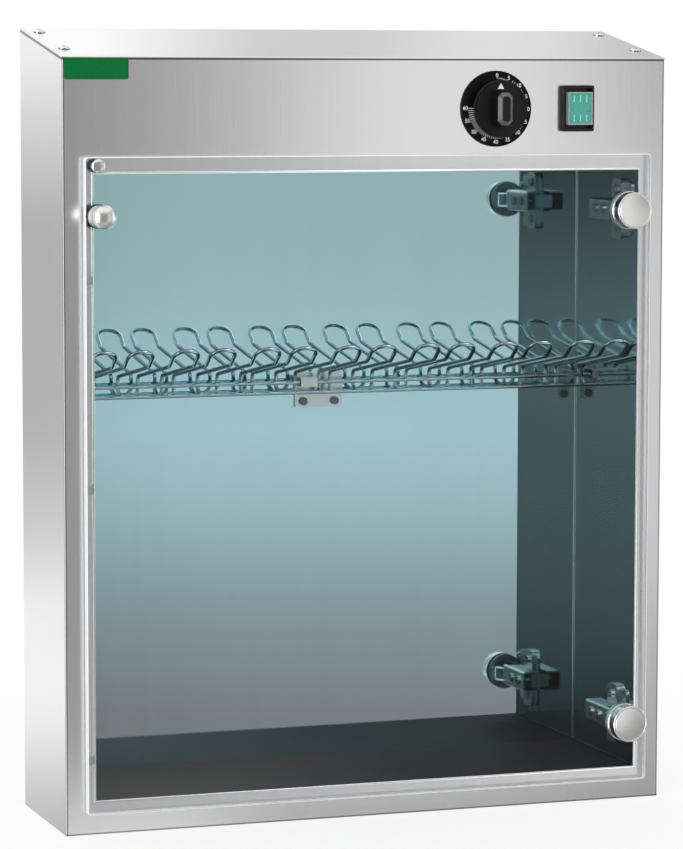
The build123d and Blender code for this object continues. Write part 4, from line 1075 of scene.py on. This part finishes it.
# Timer: a black printed dial with a moulded knob that is raised off it. The
# scale runs from 0 to 60 minutes over three quarters of a turn.
DIAL_X = 0.1062
DIAL_Z = 0.5728
DIAL_FACE = -0.0676
PRINT_FACE = DIAL_FACE - 0.00006
SCALE_START = 1.0
MINUTE_TURN = 4.5
MARK_WIDTH = 0.00052
FINE_MARK_WIDTH = 0.00030
NUMBER_RADIUS = 0.0268
NUMBER_SIZE = 0.0044
dial_black = mottled(
    "dial_black", (0.003, 0.003, 0.003), (0.006, 0.006, 0.006), 900.0, 0.40, 0.1, 0.10
)
dress(dial_black, "timer_dial")
print_white = mottled("print_white", (0.80, 0.80, 0.80), (0.90, 0.90, 0.90), 2500.0, 0.5)
marks = []
for half in range(121):
    minute = half / 2
    angle = math.radians(SCALE_START + minute * MINUTE_TURN)
    width = MARK_WIDTH
    if minute < 5:
        inner, outer, width = 0.0240, 0.0252, FINE_MARK_WIDTH
    elif half % 2:
        continue
    elif minute >= 30:
        inner, outer = 0.0200, 0.0243
    elif minute % 5 in (2, 3):
        inner, outer = 0.0254, 0.0268
    else:
        continue
    middle = (inner + outer) / 2
    bpy.ops.object.select_all(action="DESELECT")
    bpy.ops.mesh.primitive_plane_add(size=1, location=(0, 0, middle), rotation=(math.pi / 2, 0, 0))
    mark = bpy.context.object
    mark.scale = (width, outer - inner, 1)
    bpy.ops.object.transform_apply(location=True, rotation=True, scale=True)
    mark.rotation_euler = (0, angle, 0)
    mark.location = (DIAL_X, PRINT_FACE, DIAL_Z)
    bpy.ops.object.transform_apply(location=True, rotation=True, scale=True)
    marks.append(mark)
for minute in range(0, 61, 5):
    angle = math.radians(SCALE_START + minute * MINUTE_TURN)
    bpy.ops.object.select_all(action="DESELECT")
    bpy.ops.object.text_add()
    number = bpy.context.object
    number.data.body = str(minute)
    number.data.size = NUMBER_SIZE
    number.data.align_x = "CENTER"
    number.data.align_y = "CENTER"
    number.data.offset = 0.00008
    bpy.ops.object.convert(target="MESH")
    number = bpy.context.object
    number.rotation_euler = (math.pi / 2, 0, 0)
    number.location = (
        DIAL_X + NUMBER_RADIUS * math.sin(angle),
        PRINT_FACE,
        DIAL_Z + NUMBER_RADIUS * math.cos(angle),
    )
    bpy.ops.object.transform_apply(location=True, rotation=True, scale=True)
    marks.append(number)
bpy.ops.object.select_all(action="DESELECT")
for mark in marks:
    mark.select_set(True)
bpy.context.view_layer.objects.active = marks[0]
bpy.ops.object.join()
scale_print = bpy.context.object
scale_print.name = "dial_scale"
scale_print.data.materials.clear()
scale_print.data.materials.append(print_white)
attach(scale_print, "casing")

knob_black = mottled(
    "knob_black", (0.005, 0.005, 0.005), (0.009, 0.009, 0.009), 1200.0, 0.36, 0.15, 0.22
)
SKIRT_PROFILE = [
    (0.0110, 0.0682),
    (0.0110, 0.0746),
    (0.0222, 0.0752),
    (0.0230, 0.0756),
    (0.0232, 0.0761),
    (0.0232, 0.0771),
    (0.0230, 0.0776),
    (0.0226, 0.0779),
    (0.0221, 0.0780),
    (0.0217, 0.0779),
    (0.0213, 0.0776),
    (0.0208, 0.0774),
]
skirt = turned("timer_knob_moulded", SKIRT_PROFILE, (DIAL_X, 0, DIAL_Z), sides=128)
bpy.ops.object.mode_set(mode="OBJECT")
grip = start(
    "grip",
    bpy.ops.mesh.primitive_cube_add,
    size=1,
    location=(DIAL_X, -0.08375, DIAL_Z),
    scale=(0.0128, 0.0133, 0.0262),
)
pick_edges(grip, lambda a, b: abs(a.y - b.y) > 0.001)
bpy.ops.mesh.bevel(offset=0.0034, segments=1, affect="EDGES")
pick_edges(grip, lambda a, b: a.y < -0.089 and b.y < -0.089)
bpy.ops.mesh.bevel(offset=0.0030, segments=1, affect="EDGES")
bpy.ops.mesh.select_all(action="SELECT")
bpy.ops.mesh.bevel(offset=0.00025, segments=2, affect="EDGES")
bpy.ops.object.mode_set(mode="OBJECT")
# The grip's bevels get a lighter grey than its faces: a painted highlight along its edges.
knob_edge_highlight = mottled("knob_edge_highlight", (0.05, 0.05, 0.05), (0.15, 0.15, 0.15), 900.0, 0.35, 0.2)
grip.data.materials.append(knob_black)
grip.data.materials.append(knob_edge_highlight)
for face in grip.data.polygons:
    face.material_index = 1 if -0.95 < face.normal.y < -0.25 else 0
bpy.ops.object.select_all(action="DESELECT")
grip.select_set(True)
skirt.select_set(True)
bpy.context.view_layer.objects.active = skirt
skirt.data.materials.append(knob_black)
bpy.ops.object.join()
bpy.ops.object.mode_set(mode="EDIT")
bpy.ops.mesh.select_all(action="SELECT")
bpy.ops.mesh.normals_make_consistent(inside=False)
bpy.ops.object.mode_set(mode="OBJECT")
bpy.ops.object.shade_smooth_by_angle(angle=math.radians(30))
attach(skirt, "timer_knob")
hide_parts("timer_knob")
pointer = start(
    "knob_pointer",
    bpy.ops.mesh.primitive_circle_add,
    vertices=3,
    radius=0.0032,
    fill_type="NGON",
    location=(DIAL_X, -0.0775, DIAL_Z + 0.0176),
    rotation=(math.pi / 2, 0, 0),
)
bpy.ops.mesh.select_all(action="SELECT")
bpy.ops.mesh.extrude_region_move(TRANSFORM_OT_translate={"value": (0, 0.0002, 0)})
finish(pointer, "timer_knob", print_white)

# Mains switch: a snap-in rocker with a rounded black bezel, a clear frame and
# a ribbed green lens.
SWITCH_X = 0.1764
SWITCH_Z = 0.5730
BEZEL_RIM = 0.0013
BEZEL_RECESS = 0.0058
bezel_black = mottled(
    "bezel_black", (0.006, 0.006, 0.006), (0.011, 0.011, 0.011), 1200.0, 0.28, 0.1, 0.3
)
bezel = start(
    "switch_bezel_moulded",
    bpy.ops.mesh.primitive_cube_add,
    size=1,
    location=(SWITCH_X, -0.0690, SWITCH_Z),
    scale=(0.0280, 0.0060, 0.0374),
)
pick_edges(bezel, lambda a, b: abs(a.y - b.y) > 0.001)
bpy.ops.mesh.bevel(offset=0.0018, segments=5, affect="EDGES")
pick_edges(bezel, lambda a, b: a.y < -0.0715 and b.y < -0.0715)
bpy.ops.mesh.bevel(offset=0.0011, segments=4, affect="EDGES")
pick_faces(bezel, lambda centre, normal: normal.y < -0.99)
bpy.ops.mesh.inset(thickness=BEZEL_RIM)
bpy.ops.mesh.extrude_region_move(TRANSFORM_OT_translate={"value": (0, BEZEL_RECESS, 0)})
finish(bezel, "casing", bezel_black, angle=30)
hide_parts("switch_bezel")
rocker_clear = mottled("rocker_clear", (0.16, 0.19, 0.19), (0.46, 0.52, 0.52), 1600.0, 0.15)
dress(rocker_clear, "rocker_frame")
rocker_green = mottled("rocker_green", (0.012, 0.24, 0.19), (0.10, 0.50, 0.42), 1100.0, 0.2, 0.3)
dress(rocker_green, "rocker_lens")
rib_light = mottled("rib_light", (0.20, 0.56, 0.50), (0.46, 0.80, 0.74), 1500.0, 0.25)
for row, z in (("lower", -0.0079), ("upper", 0.0079)):
    for column, x in (("left", -0.0055), ("middle", 0.0), ("right", 0.0055)):
        rib = start(
            f"lens_rib_{row}_{column}",
            bpy.ops.mesh.primitive_cube_add,
            size=1,
            location=(SWITCH_X + x, -0.0755, SWITCH_Z + z),
            scale=(0.0011, 0.0006, 0.0055),
        )
        pick_edges(rib, lambda a, b: a.y < -0.0757 and b.y < -0.0757)
        bpy.ops.mesh.bevel(offset=0.0002, segments=2, affect="EDGES")
        finish(rib, "rocker", rib_light)

# Name plate: a blank plate of thin sheet, enamelled green, with rounded corners
# and a fine raised rim. It is stuck on the front below the cover.
plate_green = mottled(
    "plate_green", (0.0008, 0.150, 0.030), (0.0015, 0.170, 0.038), 300.0, 0.3, specular=0.12
)
plate = start(
    "name_plate_enamelled",
    bpy.ops.mesh.primitive_cube_add,
    size=1,
    location=(-0.2274, -0.0663, 0.6044),
    scale=(0.0520, 0.0007, 0.0164),
)
pick_edges(plate, lambda a, b: abs(a.y - b.y) > 0.0005)
bpy.ops.mesh.bevel(offset=0.0018, segments=6, affect="EDGES")
pick_faces(plate, lambda centre, normal: normal.y < -0.99)
bpy.ops.mesh.inset(thickness=0.0002)
bpy.ops.mesh.inset(thickness=0.0006)
bpy.ops.mesh.extrude_region_move(TRANSFORM_OT_translate={"value": (0, 0.00025, 0)})
finish(plate, "casing", plate_green)
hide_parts("name_plate")

# Inner devices, which the casing hides: the lamp with its holders and control
# gear, the backs of timer and switch, the safety switch and the wiring. They
# are moulded plastic, painted or zinced steel, aluminium and quartz glass.
white_moulding = mottled("white_moulding", (0.76, 0.76, 0.73), (0.84, 0.84, 0.81), 900.0, 0.5, 0.2)
dress(white_moulding, "lamp_holders", "terminal_block", "starter", "microswitch_plunger", "wiring")
black_moulding = mottled(
    "black_moulding", (0.018, 0.018, 0.02), (0.03, 0.03, 0.032), 900.0, 0.45, 0.2
)
dress(black_moulding, "switch_body", "timer_body", "microswitch_body", "cable_gland")
gear_paint = mottled("gear_paint", (0.5, 0.51, 0.49), (0.6, 0.61, 0.59), 300.0, 0.4, 0.2)
dress(gear_paint, "ballast")
dress(screw_zinc, "microswitch_bracket", "timer_shaft")
lamp_metal = brushed_metal("lamp_metal", (0.7, 0.7, 0.7), 0.3, (500.0, 500.0, 500.0))
dress(lamp_metal, "lamp_end_caps")
lamp_glass = mottled("lamp_glass", (0.88, 0.94, 0.96), (0.92, 0.96, 0.98), 40.0, 0.07)
shader = lamp_glass.node_tree.nodes["Principled BSDF"]
shader.inputs["Transmission Weight"].default_value = 1.0
dress(lamp_glass, "lamp_tube")
